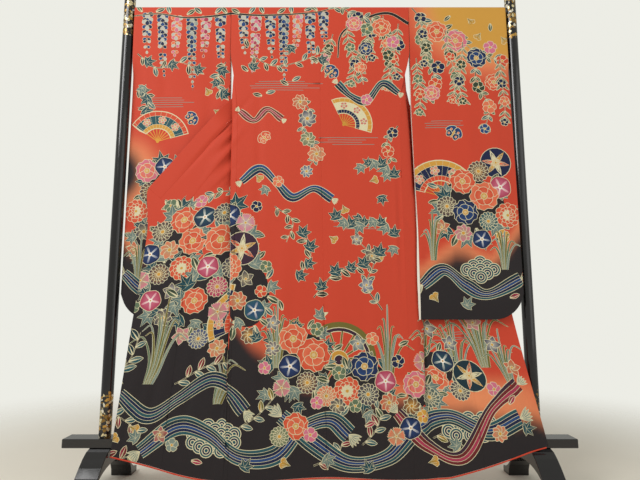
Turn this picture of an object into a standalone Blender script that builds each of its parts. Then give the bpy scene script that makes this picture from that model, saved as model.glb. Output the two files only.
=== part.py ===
import math

import bmesh
import bpy
from mathutils import Vector

# A furisode hung by its sleeves on a lacquered kimono stand, its back to the viewer, its fronts spread open.
# Metres, +Z up, X to the viewer's right, Y away from the viewer. The rod's axis is at Y = 0.
# "out" is the distance from the centre line to either side, so one table serves the left and the right.

# The stand
ROD_HEIGHT = 1.615
ROD_RADIUS = 0.0125
POST_OUT = 0.68
POST_RADIUS = 0.019
POST_TOP = 1.72
POST_DOME = 0.007
SOCKET_DEPTH = 0.009
BOARD_HALF_LENGTH = 0.80
BOARD_HALF_DEPTH = 0.031
BOARD_TOP = 0.164
BOARD_THICKNESS = 0.027
FOOT_WIDTH = 0.069
FOOT_HALF_LENGTH = 0.200
FOOT_HEIGHT = BOARD_TOP - BOARD_THICKNESS
FOOT_LEVEL_HALF = 0.028  # half the level stretch of its top, under the board
TOE_HEIGHT = 0.020
TOE_SWEEP = 0.94  # below 1 the top falls away sooner
ARCH_HALF_SPAN = 0.150
ARCH_HEIGHT = 0.092
ARCH_FULLNESS = 0.9  # below 1 the arch is fuller than an ellipse
FOOT_STEPS = 8
BEVEL = 0.0015
POST_SIDES = 32
ROD_SIDES = 24
DOME_ANGLES = (25, 50, 72)  # degrees up the post's rounded top
SHARP_ANGLE = math.radians(50)  # edges that turn more than this stay sharp

# The cloth
WALL = 0.0016
COLLAR_WALL = 0.003
GAP = 0.0003
SEAM_INSET = 0.0003
REST_RADIUS = ROD_RADIUS + 2 * GAP + WALL / 2  # of a wall's middle, where it lies over the rod

# Body
NECK_OUT = 0.085
COLLAR_WIDTH = 0.057
COLLAR_CROSSING = (0.301, 1.296)  # where the collar's free edge comes out at the side seam: out, height
CORNER_HEIGHT = 0.9265  # the row of the panels at which the collar ends
BELOW_CORNER = 0.9225
OKUMI_TIP = 1.320
TURN_START = 1.380  # where the collar leaves its straight stretch

# Hem line: across, height
HEM = (
    (-0.660, 0.122), (-0.546, 0.096), (-0.405, 0.060), (-0.280, 0.044), (-0.200, 0.045),
    (0.025, 0.058), (0.234, 0.050), (0.354, 0.056), (0.473, 0.081), (0.577, 0.112), (0.646, 0.136),
    (0.700, 0.150),
)

HEM_LEVEL = 0.060  # where the panels' columns are placed along the hem

# Back panels: height, centre seam across, back plane depth
BACK = (
    (ROD_HEIGHT, 0.000, -REST_RADIUS), (1.450, 0.000, -0.0165), (1.296, 0.001, -0.0200),
    (1.100, 0.003, -0.0250), (0.927, 0.007, -0.0285), (0.524, 0.014, -0.0355), (0.300, 0.018, -0.0400),
    (0.040, 0.022, -0.0460),
)

# Front panels. Below the shoulder each runs from the armhole or side seam out to a fold, back in behind
# the back panel to a second fold, and out again to the okumi.
# height, seam out, seam depth, outer fold out, its depth, inner fold out, its depth, rear depth, ahead depth
FRONT = {
    "left": (
        (ROD_HEIGHT, 0.3138, REST_RADIUS, 0.255, REST_RADIUS, 0.165, REST_RADIUS, REST_RADIUS, REST_RADIUS),
        (1.500, 0.3125, 0.0120, 0.262, 0.0120, 0.150, 0.0140, 0.0155, 0.0155),
        (1.440, 0.3110, 0.0060, 0.275, 0.0100, 0.122, 0.0150, 0.0180, 0.0170),
        (1.370, 0.2990, -0.0080, 0.290, 0.0030, 0.138, 0.0110, 0.0180, 0.0040),
        (1.296, 0.2885, -0.0200, 0.299, -0.0140, 0.137, 0.0000, 0.0090, -0.0110),
        (1.200, 0.2810, -0.0225, 0.300, -0.0170, 0.167, -0.0050, 0.0040, -0.0170),
        (1.100, 0.2790, -0.0250, 0.300, -0.0195, 0.193, -0.0080, 0.0010, -0.0200),
        (0.927, 0.2780, -0.0285, 0.2985, -0.0235, 0.236, -0.0130, -0.0060, -0.0240),
        (0.800, 0.2790, -0.0310, 0.296, -0.0265, 0.2475, -0.0180, -0.0120, -0.0270),
        (0.524, 0.2790, -0.0355, 0.290, -0.0330, 0.262, -0.0265, -0.0215, -0.0330),
        (0.300, 0.2795, -0.0400, 0.292, -0.0430, 0.287, -0.0330, -0.0310, -0.0385),
        (0.200, 0.2800, -0.0425, 0.292, -0.0445, 0.314, -0.0390, -0.0385, -0.0415),
        (0.040, 0.2800, -0.0460, 0.300, -0.0465, 0.330, -0.0455, -0.0455, -0.0460),
    ),
    "right": (
        (ROD_HEIGHT, 0.3138, REST_RADIUS, 0.255, REST_RADIUS, 0.165, REST_RADIUS, REST_RADIUS, REST_RADIUS),
        (1.500, 0.3125, 0.0120, 0.262, 0.0120, 0.150, 0.0140, 0.0155, 0.0155),
        (1.440, 0.3110, 0.0060, 0.270, 0.0100, 0.122, 0.0150, 0.0180, 0.0180),
        (1.370, 0.2940, -0.0080, 0.282, 0.0030, 0.138, 0.0110, 0.0190, 0.0150),
        (1.296, 0.2780, -0.0200, 0.289, -0.0140, 0.137, 0.0000, 0.0120, 0.0090),
        (1.200, 0.2735, -0.0225, 0.300, -0.0120, 0.180, -0.0010, 0.0090, 0.0060),
        (1.100, 0.2730, -0.0250, 0.308, -0.0085, 0.215, 0.0020, 0.0110, 0.0060),
        (0.927, 0.2740, -0.0285, 0.336, -0.0040, 0.268, 0.0050, 0.0130, 0.0040),
        (0.800, 0.2760, -0.0310, 0.340, -0.0070, 0.290, 0.0020, 0.0090, 0.0010),
        (0.524, 0.2800, -0.0355, 0.335, -0.0160, 0.308, -0.0100, -0.0050, -0.0110),
        (0.300, 0.2840, -0.0400, 0.328, -0.0420, 0.323, -0.0300, -0.0280, -0.0370),
        (0.200, 0.2860, -0.0425, 0.324, -0.0455, 0.348, -0.0400, -0.0400, -0.0490),
        (0.040, 0.2880, -0.0460, 0.320, -0.0470, 0.355, -0.0490, -0.0490, -0.0600),
    ),
}

# Okumi and collar: where the collar's free edge ends; the okumi's width under the collar by height;
# the okumi seam out below it by height; the front edge out by height
COLLAR_END = {"left": (0.574, 0.9625), "right": (0.556, 0.9650)}
OKUMI_WIDTH = ((OKUMI_TIP, 0.010), (1.200, 0.055), (1.100, 0.085), (1.000, 0.095), (0.9265, 0.102))
OKUMI_SEAM = {
    "left": ((0.800, 0.430), (0.524, 0.446), (0.300, 0.466), (0.040, 0.487)),
    "right": ((0.800, 0.424), (0.524, 0.458), (0.300, 0.482), (0.040, 0.502)),
}
FRONT_EDGE = {
    "left": ((0.9625, 0.574), (0.825, 0.568), (0.524, 0.600), (0.300, 0.624), (0.118, 0.643)),
    "right": ((0.9650, 0.556), (0.825, 0.578), (0.534, 0.6265), (0.300, 0.668), (0.140, 0.699)),
}

# The collar from the front to the back of the neck, above its straight stretch:
# seam out, seam depth, seam height, free edge out, its depth, its height
COLLAR_TURN = (
    (0.1130, 0.0385, 1.445, 0.1480, 0.0580, 1.485),
    (0.0915, 0.0325, 1.500, 0.1000, 0.0850, 1.520),
    (0.0865, 0.0230, 1.552, 0.0500, 0.0600, 1.535),
    (0.0835, 0.0185, 1.588, 0.0400, 0.0350, 1.560),
)
# The front panel's edge where the collar rolls it back: height, out, depth
NECK_EDGE = (
    (1.410, 0.134, 0.0290), (1.445, 0.113, 0.0360), (1.500, 0.094, 0.0300), (1.560, 0.088, 0.0190),
    (ROD_HEIGHT, NECK_OUT, REST_RADIUS),
)

# The collar round the back of the neck, over the rod: across, degrees from the rod's top, lean to the centre
NECK_TURN = (
    (0.0820, 90, 0.754), (0.0812, 70, 0.775), (0.0790, 50, 0.789), (0.0750, 28, 0.772), (0.0660, 3, 0.684),
    (0.0430, 3, 0.440),
)
NECK_MIDDLE = (0.0150, 3, 0.158)
COLLAR_SHARES = (0.0, 0.09, 0.18, 0.28, 0.40, 0.62, 1.0)  # where its points lie across it

# Sleeves
CUFF_OUT = 0.657
SLEEVE_BOTTOM = 0.530
SLEEVE_CORNER = 0.100
CORNER_SHARE = 0.985  # how much of the corner's quarter circle is drawn before the straight edge
CUFF_BOTTOM = 1.400
CUFF_EASE = 0.050  # the height over which the wrist's edges draw together below it
ARMHOLE_BOTTOM = 1.440
CLOSED_HALF = 0.0010  # half the distance between the middles of two walls that are sewn together
SLEEVE_CLOSING = 0.050  # how far in from the sewn edge the walls part
SLEEVE_COLUMNS = 9
SLEEVE_ROWS = 12
SLEEVE_ANGLES = (68, 45, 23, 0, -23, -45, -68)  # degrees over the rod, from its far side
# The sleeve's inner edge: height, out
FURI_EDGE = (
    (1.615, 0.3142), (1.440, 0.3142), (1.260, 0.3125), (1.030, 0.3165), (0.800, 0.3225), (0.530, 0.3225),
)
LINING_EDGE = 0.0035  # how far the sleeve's lining shows past its edge

# Sleeve: height, middle depth, half depth
SLEEVE = {
    "left": (
        (ROD_HEIGHT, 0.0000, REST_RADIUS), (1.450, 0.0030, 0.0115), (1.300, 0.0100, 0.0070),
        (1.000, 0.0090, 0.0060), (0.530, 0.0050, 0.0050),
    ),
    "right": (
        (ROD_HEIGHT, 0.0000, REST_RADIUS), (1.450, -0.0040, 0.0115), (1.300, -0.0130, 0.0070),
        (1.000, -0.0215, 0.0055), (0.530, -0.0340, 0.0050),
    ),
}

# Soft folds: panel, across and height of the upper end and of the lower end, how deep away from the viewer,
# half width
FOLDS = (
    ("back_left", -0.262, 1.200, -0.246, 0.300, 0.0030, 0.016),
    ("back_left", -0.120, 0.560, -0.100, 0.020, -0.0040, 0.045),
    ("back_left", -0.215, 0.620, -0.205, 0.020, 0.0045, 0.035),
    ("back_left", -0.070, 1.560, -0.110, 1.150, -0.0015, 0.050),
    ("back_right", 0.255, 1.250, 0.262, 0.760, 0.0030, 0.014),
    ("back_right", 0.130, 0.640, 0.120, 0.020, 0.0045, 0.045),
    ("back_right", 0.215, 0.560, 0.225, 0.020, -0.0045, 0.035),
    ("back_right", 0.090, 1.560, 0.120, 1.150, -0.0015, 0.050),
    ("front_left", -0.355, 0.760, -0.370, 0.060, 0.0040, 0.030),
    ("front_left", -0.425, 0.560, -0.440, 0.060, -0.0035, 0.030),
    ("okumi_left", -0.540, 0.800, -0.570, 0.080, 0.0035, 0.035),
    ("front_right", 0.400, 0.500, 0.410, 0.040, 0.0050, 0.030),
    ("front_right", 0.455, 0.480, 0.465, 0.060, -0.0045, 0.028),
    ("okumi_right", 0.560, 0.520, 0.585, 0.080, 0.0050, 0.030),
    ("okumi_right", 0.630, 0.460, 0.655, 0.100, -0.0040, 0.025),
    ("sleeve_left", -0.450, 1.560, -0.440, 0.600, -0.0030, 0.050),
    ("sleeve_left", -0.560, 1.500, -0.570, 0.640, 0.0020, 0.035),
    ("sleeve_right", 0.400, 1.560, 0.390, 0.560, 0.0025, 0.045),
    ("sleeve_right", 0.520, 1.500, 0.530, 0.600, -0.0035, 0.050),
)

# Rows of the panels: heights above the collar's end, then even steps from there to the hem
UPPER_HEIGHTS = (
    1.615, 1.560, 1.500, 1.450, 1.410, 1.380, 1.350, 1.320, 1.296, 1.265, 1.230, 1.190, 1.140, 1.080,
    1.010, CORNER_HEIGHT,
)
LOWER_STEPS = 9
SHOULDER_ANGLES = (1, 23, 45, 68)  # degrees round the rod from its top, before the first height
BACK_COLUMNS = 9
FRONT_SHARES = (0.25, 0.45, 0.65, 0.82, 1.0)  # columns of a front panel between its inner fold and the okumi
COLLAR_ROWS = 12
NECK_SLOPE = 0.05  # how far the collar leans back below the rod, for each metre down
FOLD_RADIUS = 0.0034
FOLD_BLEND = 0.020  # how far a turn doubles back before it is a full fold
OKUMI_COLUMNS = 5
EDGING_RADIUS = 0.0022
EDGING_SIDES = 5
EDGING_FLATNESS = 0.7  # its thickness over its height
EDGING_STEP = 0.016


def smooth(start, end, value):
    share = min(max((value - start) / (end - start), 0.0), 1.0)
    return share * share * (3 - 2 * share)


def read_table(rows, value):
    # The columns after the first, read on a smooth curve at a value of the first column
    rows = sorted(rows)
    value = min(max(value, rows[0][0]), rows[-1][0])
    after = next(i for i in range(1, len(rows)) if value <= rows[i][0])
    low, high = rows[after - 1], rows[after]
    before = rows[max(after - 2, 0)]
    beyond = rows[min(after + 1, len(rows) - 1)]
    span = high[0] - low[0]
    share = (value - low[0]) / span
    result = []
    for column in range(1, len(low)):
        slope_low = (high[column] - before[column]) / (high[0] - before[0]) * span
        slope_high = (beyond[column] - low[column]) / (beyond[0] - low[0]) * span
        rise = high[column] - low[column]
        if slope_low * rise <= 0:
            slope_low = 0.0
        if slope_high * rise <= 0:
            slope_high = 0.0
        result.append(
            low[column] * (1 + 2 * share) * (1 - share) ** 2
            + slope_low * share * (1 - share) ** 2
            + high[column] * share**2 * (3 - 2 * share)
            + slope_high * share**2 * (share - 1)
        )
    return result


def fold_depth(panel, across, height):
    depth = 0.0
    for name, top_x, top_z, low_x, low_z, amount, half_width in FOLDS:
        if name != panel:
            continue
        down = (top_z - height) / (top_z - low_z)
        middle = top_x + (low_x - top_x) * down
        fade = smooth(0.0, 0.45, down) * smooth(0.0, 0.12, 1.25 - down)
        depth += amount * fade * math.exp(-(((across - middle) / half_width) ** 2))
    return depth


def hem_height(across):
    return read_table(HEM, across)[0]


def collar_frame(side):
    # The direction down the collar's straight stretch, and the step from its free edge to its seam
    start = Vector(COLLAR_CROSSING)
    end = Vector(COLLAR_END[side])
    along = (end - start).normalized()
    return start, end, along, Vector((along.y, -along.x)) * COLLAR_WIDTH


def collar_seam_out(side, height):
    start, _, along, step = collar_frame(side)
    line = start + step
    straight = line.x + along.x * (min(height, TURN_START) - line.y) / along.y
    if height > TURN_START:
        return neck_edge(side, straight, height)[0]
    return straight


def neck_edge(side, straight, height):
    # The panel's edge above the straight stretch, out and in depth
    first = (TURN_START, straight, main_depth(side, straight, TURN_START))
    return read_table((first,) + NECK_EDGE, height)


def okumi_seam_out(side, height):
    if height >= CORNER_HEIGHT:
        return collar_seam_out(side, height) - read_table(OKUMI_WIDTH, height)[0]
    corner = (CORNER_HEIGHT, collar_seam_out(side, CORNER_HEIGHT) - OKUMI_WIDTH[-1][1])
    return read_table((corner,) + OKUMI_SEAM[side], height)[0]


def main_depth(side, out, height):
    # The depth of the front's last stretch: behind the folds at first, then ahead of or behind the sleeve
    row = read_table(FRONT[side], height)
    fold_out, rear, ahead = row[2], row[6], row[7]
    return rear + (ahead - rear) * smooth(fold_out - 0.015, fold_out + 0.025, out)


def row_heights(hem):
    lower = [BELOW_CORNER + (hem - BELOW_CORNER) * k / LOWER_STEPS for k in range(LOWER_STEPS + 1)]
    return list(UPPER_HEIGHTS) + lower


def over_the_rod(top_row, toward):
    # Rows from the rod's top down to its side, before the first row. toward is -1 for the viewer's side
    rows = []
    for degrees in SHOULDER_ANGLES:
        angle = math.radians(degrees)
        depth = toward * REST_RADIUS * math.sin(angle)
        rise = REST_RADIUS * math.cos(angle)
        rows.append([Vector((p.x, depth, ROD_HEIGHT + rise)) for p in top_row])
    return rows


def thick_mesh(name, rows, wall, ring=False):
    # A closed solid of this wall thickness about a grid of points, with the shorter diagonals on both its
    # sides. A ring's rows close on themselves
    count, width = len(rows), len(rows[0])
    flat = [p for row in rows for p in row]
    near, far = [], []
    for i in range(count):
        for j in range(width):
            left = rows[i][(j - 1) % width] if ring else rows[i][max(j - 1, 0)]
            right = rows[i][(j + 1) % width] if ring else rows[i][min(j + 1, width - 1)]
            across = right - left
            down = rows[min(i + 1, count - 1)][j] - rows[max(i - 1, 0)][j]
            normal = across.cross(down).normalized()
            near.append(rows[i][j] + normal * wall / 2)
            far.append(rows[i][j] - normal * wall / 2)
    mesh = bmesh.new()
    near = [mesh.verts.new(p) for p in near]
    far = [mesh.verts.new(p) for p in far]
    columns = width if ring else width - 1
    for i in range(count - 1):
        for j in range(columns):
            k = (j + 1) % width
            corners = [i * width + j, i * width + k, (i + 1) * width + k, (i + 1) * width + j]
            a, b, c, d = (flat[n] for n in corners)
            if (a - c).length > (b - d).length:
                corners = corners[1:] + corners[:1]
            for face in (corners[:3], [corners[0]] + corners[2:]):
                mesh.faces.new([near[n] for n in face])
                mesh.faces.new([far[n] for n in reversed(face)])
    for j in range(columns):
        k = (j + 1) % width
        last = (count - 1) * width
        mesh.faces.new((near[k], near[j], far[j], far[k]))
        mesh.faces.new((near[last + j], near[last + k], far[last + k], far[last + j]))
    if not ring:
        for i in range(count - 1):
            a, b = i * width, (i + 1) * width
            mesh.faces.new((near[a], near[b], far[b], far[a]))
            a, b = a + width - 1, b + width - 1
            mesh.faces.new((near[b], near[a], far[a], far[b]))
    bmesh.ops.recalc_face_normals(mesh, faces=mesh.faces)
    return finish_mesh(name, mesh)


def finish_mesh(name, mesh):
    data = bpy.data.meshes.new(name)
    mesh.to_mesh(data)
    mesh.free()
    data.shade_smooth()
    data.set_sharp_from_angle(angle=SHARP_ANGLE)
    made = bpy.data.objects.new(name, data)
    bpy.context.scene.collection.objects.link(made)
    return made


def paint(made, color, roughness, metallic=0.0, coat=0.0):
    material = bpy.data.materials.new(made.name)
    material.use_nodes = True
    shader = material.node_tree.nodes["Principled BSDF"]
    shader.inputs["Base Color"].default_value = (*color, 1.0)
    shader.inputs["Roughness"].default_value = roughness
    shader.inputs["Metallic"].default_value = metallic
    shader.inputs["Coat Weight"].default_value = coat
    made.data.materials.append(material)


def inset_row(row, start, end):
    # Moves the ends of a row in from the seams by the inset
    row = list(row)
    if start:
        row[0] = row[0] + (row[1] - row[0]).normalized() * SEAM_INSET
    if end:
        row[-1] = row[-1] + (row[-2] - row[-1]).normalized() * SEAM_INSET
    return row


def back_panel(side):
    sign = -1 if side == "left" else 1
    name = "back_" + side
    seam_foot = read_table(BACK, HEM_LEVEL)[0]
    side_foot = sign * read_table(FRONT[side], HEM_LEVEL)[0]
    columns = [k / (BACK_COLUMNS - 1) for k in range(BACK_COLUMNS)]
    heights = [row_heights(hem_height(seam_foot + (side_foot - seam_foot) * share)) for share in columns]
    rows = []
    for i in range(len(heights[0])):
        row = []
        for j, share in enumerate(columns):
            height = heights[j][i]
            centre, depth = read_table(BACK, height)
            edge = sign * read_table(FRONT[side], height)[0]
            across = centre + (edge - centre) * share
            row.append(Vector((across, depth + fold_depth(name, across, height) * share_fade(share), height)))
        rows.append(inset_row(row, True, True))
    return over_the_rod(rows[0], -1) + rows


def share_fade(share):
    # Folds die out at a seam, so that the panels on both sides of it stay level
    return smooth(0.0, 0.12, share) * smooth(0.0, 0.12, 1 - share)


def turn_points(before, turn, after, depth):
    # Three points round a turn of the cloth: a round fold where it doubles back, and level where it runs on
    way_in = min(max((turn - before) / FOLD_BLEND, -1.0), 1.0)
    way_out = min(max((after - turn) / FOLD_BLEND, -1.0), 1.0)
    rise = FOLD_RADIUS * abs(way_in - way_out) / 2
    return [
        Vector((turn - FOLD_RADIUS * way_in, depth - rise)),
        Vector((turn, depth)),
        Vector((turn + FOLD_RADIUS * way_out, depth + rise)),
    ]


def front_section(side, height):
    # One level of the front panel, from the side seam to the okumi seam, as points (out, depth)
    seam, seam_y, outer, outer_y, inner, inner_y, rear, ahead = read_table(FRONT[side], height)
    end = okumi_seam_out(side, height) if height <= OKUMI_TIP else collar_seam_out(side, height)
    points = [Vector((seam, seam_y)), Vector(((seam + outer) / 2, (seam_y + outer_y * 2) / 3))]
    points += turn_points(seam, outer, inner, outer_y)
    points.append(Vector(((outer + inner) / 2, (outer_y + inner_y) / 2)))
    points += turn_points(outer, inner, end, inner_y)
    rolled = 0.0
    if height > TURN_START:
        straight = collar_seam_out(side, TURN_START)
        rolled = neck_edge(side, straight, height)[1] - main_depth(side, end, height)
    for share in FRONT_SHARES:
        out = inner + (end - inner) * share
        points.append(Vector((out, main_depth(side, out, height) + rolled * share)))
    return points


def front_panel(side):
    sign = -1 if side == "left" else 1
    name = "front_" + side
    foot = front_section(side, HEM_LEVEL)
    heights = [row_heights(hem_height(sign * p.x)) for p in foot]
    rows = []
    for i in range(len(heights[0])):
        row = []
        for j in range(len(foot)):
            height = heights[j][i]
            p = front_section(side, height)[j]
            share = j / (len(foot) - 1)
            depth = p.y + fold_depth(name, sign * p.x, height) * share_fade(share)
            row.append(Vector((sign * p.x, depth, height)))
        rows.append(inset_row(row, True, True))
    return over_the_rod(rows[0], 1) + rows


def okumi_panel(side):
    # The okumi's top follows the collar's seam, and its last column then steps up to the collar's free corner
    sign = -1 if side == "left" else 1
    name = "okumi_" + side
    columns = [k / (OKUMI_COLUMNS - 1) for k in range(OKUMI_COLUMNS)]
    corner_top = COLLAR_END[side][1] - 2 * GAP
    foot_in = okumi_seam_out(side, HEM_LEVEL)
    foot_out = FRONT_EDGE[side][-1][1]
    heights = []
    for share in columns:
        hem = hem_height(sign * (foot_in + (foot_out - foot_in) * share))
        column = row_heights(hem)[UPPER_HEIGHTS.index(OKUMI_TIP):]
        if share == 1:
            column[-LOWER_STEPS - 1] = corner_top
        heights.append(column)
    rows = []
    for i in range(len(heights[0])):
        under_collar = i < len(heights[0]) - LOWER_STEPS - 1
        row = []
        for share, column in zip(columns, heights):
            height = column[i]
            inner = okumi_seam_out(side, min(height, BELOW_CORNER) if not under_collar else height)
            outer = collar_seam_out(side, height) if under_collar else read_table(FRONT_EDGE[side], height)[0]
            out = inner + (outer - inner) * share
            depth = main_depth(side, out, height) + fold_depth(name, sign * out, height) * share_fade(share)
            row.append(Vector((sign * out, depth, height)))
        rows.append(inset_row(row, True, under_collar))
    return rows


def collar_half(side):
    # Rows of points across the collar from its front end to the side of the neck
    sign = -1 if side == "left" else 1
    _, end, along, step = collar_frame(side)
    length = (TURN_START - (end + step).y) / -along.y
    ends = []
    for k in range(COLLAR_ROWS):
        free = end - along * (length * k / (COLLAR_ROWS - 1) + GAP * 2)
        seam = free + step * (1 - 2 * SEAM_INSET / COLLAR_WIDTH)
        ends.append(
            (
                Vector((sign * seam.x, main_depth(side, seam.x, seam.y), seam.y)),
                Vector((sign * free.x, main_depth(side, free.x, free.y), free.y)),
            )
        )
    for seam_out, seam_y, seam_z, free_out, free_y, free_z in COLLAR_TURN:
        ends.append((Vector((sign * seam_out, seam_y, seam_z)), Vector((sign * free_out, free_y, free_z))))
    rows = []
    for seam, free in ends:
        rows.append([seam + (free - seam) * share for share in COLLAR_SHARES])
    return rows


def neck_row(sign, across, degrees, lean):
    # The collar's path from its seam near the rod's top, round the rod and down behind it
    radius = ROD_RADIUS + 4 * GAP + COLLAR_WALL / 2
    upright = math.sqrt(1 - lean * lean)
    start = math.radians(degrees)
    row = []
    for share in COLLAR_SHARES:
        run = COLLAR_WIDTH * share
        angle = min(start + run * upright / radius, math.pi / 2)
        drop = max(run * upright - radius * (math.pi / 2 - start), 0.0)
        x = sign * (across - lean * run)
        depth = radius * math.sin(angle) + drop * NECK_SLOPE
        row.append(Vector((x, depth, ROD_HEIGHT + radius * math.cos(angle) - drop)))
    return row


def collar():
    rows = collar_half("left")
    rows += [neck_row(-1, *values) for values in NECK_TURN + (NECK_MIDDLE,)]
    rows += [neck_row(1, *values) for values in (NECK_MIDDLE,) + NECK_TURN[::-1]]
    rows += reversed(collar_half("right"))
    return thick_mesh("collar", rows, COLLAR_WALL)


def sleeve_bottom(out):
    past = min(max(out - (CUFF_OUT - SLEEVE_CORNER), 0.0), SLEEVE_CORNER * CORNER_SHARE)
    return SLEEVE_BOTTOM + SLEEVE_CORNER - math.sqrt(SLEEVE_CORNER**2 - past**2)


def sleeve_depths(side, out, height, bottom):
    middle, half = read_table(SLEEVE[side], height)
    from_edge = smooth(0.0, SLEEVE_CLOSING, CUFF_OUT - out)
    below_cuff = smooth(CUFF_BOTTOM + CUFF_EASE / 2, CUFF_BOTTOM - CUFF_EASE / 2, height)
    open_share = 1 - below_cuff * (1 - from_edge)
    open_share *= smooth(0.0, SLEEVE_CLOSING, height - bottom)
    return middle, CLOSED_HALF + (half - CLOSED_HALF) * open_share


def sleeve_ring(side, share, start=0.0, shift=0.0):
    # One section of the sleeve, down its near wall, up its far wall and over the rod. With a start height it
    # holds only the points below that, and shift moves it along the sleeve
    sign = -1 if side == "left" else 1
    name = "sleeve_" + side
    foot_out = FURI_EDGE[-1][1] + (CUFF_OUT - FURI_EDGE[-1][1]) * share
    bottom = sleeve_bottom(foot_out)
    near, far = [], []
    for k in range(SLEEVE_ROWS + 1):
        height = ROD_HEIGHT + (bottom - ROD_HEIGHT) * k / SLEEVE_ROWS
        furi = read_table(FURI_EDGE, height)[0] + shift
        out = furi + (CUFF_OUT - furi) * share
        middle, half = sleeve_depths(side, out, height, bottom)
        middle += fold_depth(name, sign * out, height)
        rise = CLOSED_HALF if k == SLEEVE_ROWS else 0.0
        near.append(Vector((sign * out, middle - half, height + rise)))
        far.append(Vector((sign * out, middle + half, height + rise)))
    tip = Vector((near[-1].x, (near[-1].y + far[-1].y) / 2, near[-1].z - CLOSED_HALF))
    loop = near + [tip] + far[::-1]
    if start > 0:
        return [p for p in loop if p.z < start]
    top = []
    for degrees in SLEEVE_ANGLES:
        angle = math.radians(degrees)
        top.append(
            Vector((near[0].x, REST_RADIUS * math.sin(angle), ROD_HEIGHT + REST_RADIUS * math.cos(angle)))
        )
    return loop + top


def sleeve(side):
    rows = [sleeve_ring(side, k / SLEEVE_COLUMNS) for k in range(SLEEVE_COLUMNS + 1)]
    return thick_mesh("sleeve_" + side, rows, WALL, ring=True)


def sleeve_lining(side):
    # The edge of the lining that shows past the sleeve's inner edge, below the armhole
    rows = [
        sleeve_ring(side, 0.0, ARMHOLE_BOTTOM, -LINING_EDGE - GAP),
        sleeve_ring(side, 0.0, ARMHOLE_BOTTOM, -LINING_EDGE / 2 - GAP),
        sleeve_ring(side, 0.0, ARMHOLE_BOTTOM, -GAP),
    ]
    return thick_mesh("sleeve_lining_" + side, rows, WALL)


def hem_line(grids):
    # Points under the whole hem, from the left front edge to the right one
    points = []
    for name in ("okumi_left", "front_left", "back_left"):
        points += reversed(grids[name][-1])
    for name in ("back_right", "front_right", "okumi_right"):
        points += grids[name][-1]
    apart = [points[0]]
    for point in points[1:]:
        if (point - apart[-1]).length > EDGING_STEP:
            apart.append(point)
    return [p - Vector((0, 0, EDGING_RADIUS + 2 * GAP)) for p in apart]


def hem_edging(grids):
    # The lining rolled out under the hem, a thin cord of cloth along all the panels
    points = hem_line(grids)
    rows = []
    for i, point in enumerate(points):
        run = (points[min(i + 1, len(points) - 1)] - points[max(i - 1, 0)]).normalized()
        side = run.cross(Vector((0, 0, 1))).normalized()
        up = side.cross(run)
        ring = []
        for k in range(EDGING_SIDES):
            angle = 2 * math.pi * (k + 0.5) / EDGING_SIDES
            flat = side * math.cos(angle) * EDGING_FLATNESS + up * math.sin(angle)
            ring.append(point + flat * EDGING_RADIUS)
        rows.append(ring)
    mesh = bmesh.new()
    verts = [[mesh.verts.new(p) for p in ring] for ring in rows]
    for a, b in zip(verts, verts[1:]):
        for k in range(EDGING_SIDES):
            n = (k + 1) % EDGING_SIDES
            mesh.faces.new((a[k], a[n], b[n], b[k]))
    mesh.faces.new(verts[0])
    mesh.faces.new(verts[-1])
    bmesh.ops.recalc_face_normals(mesh, faces=mesh.faces)
    return finish_mesh("hem_edging", mesh)


def turned(name, profile, sides, place, turn=None):
    # A round piece from a profile of (radius, height), closed at both ends
    mesh = bmesh.new()
    rings = []
    for radius, height in profile:
        ring = []
        for k in range(sides):
            angle = 2 * math.pi * k / sides
            ring.append(mesh.verts.new((radius * math.cos(angle), radius * math.sin(angle), height)))
        rings.append(ring)
    for a, b in zip(rings, rings[1:]):
        for k in range(sides):
            n = (k + 1) % sides
            mesh.faces.new((a[k], a[n], b[n], b[k]))
    mesh.faces.new(rings[0][::-1])
    mesh.faces.new(rings[-1])
    bmesh.ops.recalc_face_normals(mesh, faces=mesh.faces)
    made = finish_mesh(name, mesh)
    made.location = place
    if turn:
        made.rotation_euler = turn
    return made


def post(side):
    # A round post with a low domed top and a blind socket for the rod's end
    sign = -1 if side == "left" else 1
    bottom = BOARD_TOP + GAP
    profile = [(POST_RADIUS, 0.0), (POST_RADIUS, POST_TOP - POST_DOME - bottom)]
    for degrees in DOME_ANGLES:
        angle = math.radians(degrees)
        profile.append(
            (POST_RADIUS * math.cos(angle), POST_TOP - bottom - POST_DOME * (1 - math.sin(angle)))
        )
    made = turned("post_" + side, profile, POST_SIDES, (sign * POST_OUT, 0, bottom))
    cutter = turned(
        "socket_cutter_" + side,
        [(ROD_RADIUS + GAP, 0.0), (ROD_RADIUS + GAP, POST_RADIUS)],
        ROD_SIDES,
        (sign * (POST_OUT - POST_RADIUS + SOCKET_DEPTH), 0, ROD_HEIGHT),
        (0, -sign * math.pi / 2, 0),
    )
    cutter.hide_render = True
    cutter.display_type = "WIRE"
    socket = made.modifiers.new("socket", "BOOLEAN")
    socket.operation = "DIFFERENCE"
    socket.object = cutter
    return made


def top_rod():
    half = POST_OUT - POST_RADIUS + SOCKET_DEPTH - GAP
    profile = [(ROD_RADIUS, -half), (ROD_RADIUS, half)]
    return turned("top_rod", profile, ROD_SIDES, (0, 0, ROD_HEIGHT), (0, math.pi / 2, 0))


def extruded(name, outline, half_width, across):
    # A piece with this outline of (depth, height), as wide as twice half_width about the given place
    mesh = bmesh.new()
    low = [mesh.verts.new((across - half_width, y, z)) for y, z in outline]
    high = [mesh.verts.new((across + half_width, y, z)) for y, z in outline]
    for k in range(len(outline)):
        n = (k + 1) % len(outline)
        mesh.faces.new((low[k], low[n], high[n], high[k]))
    mesh.faces.new(low[::-1])
    mesh.faces.new(high)
    bmesh.ops.recalc_face_normals(mesh, faces=mesh.faces)
    return finish_mesh(name, mesh)


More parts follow.
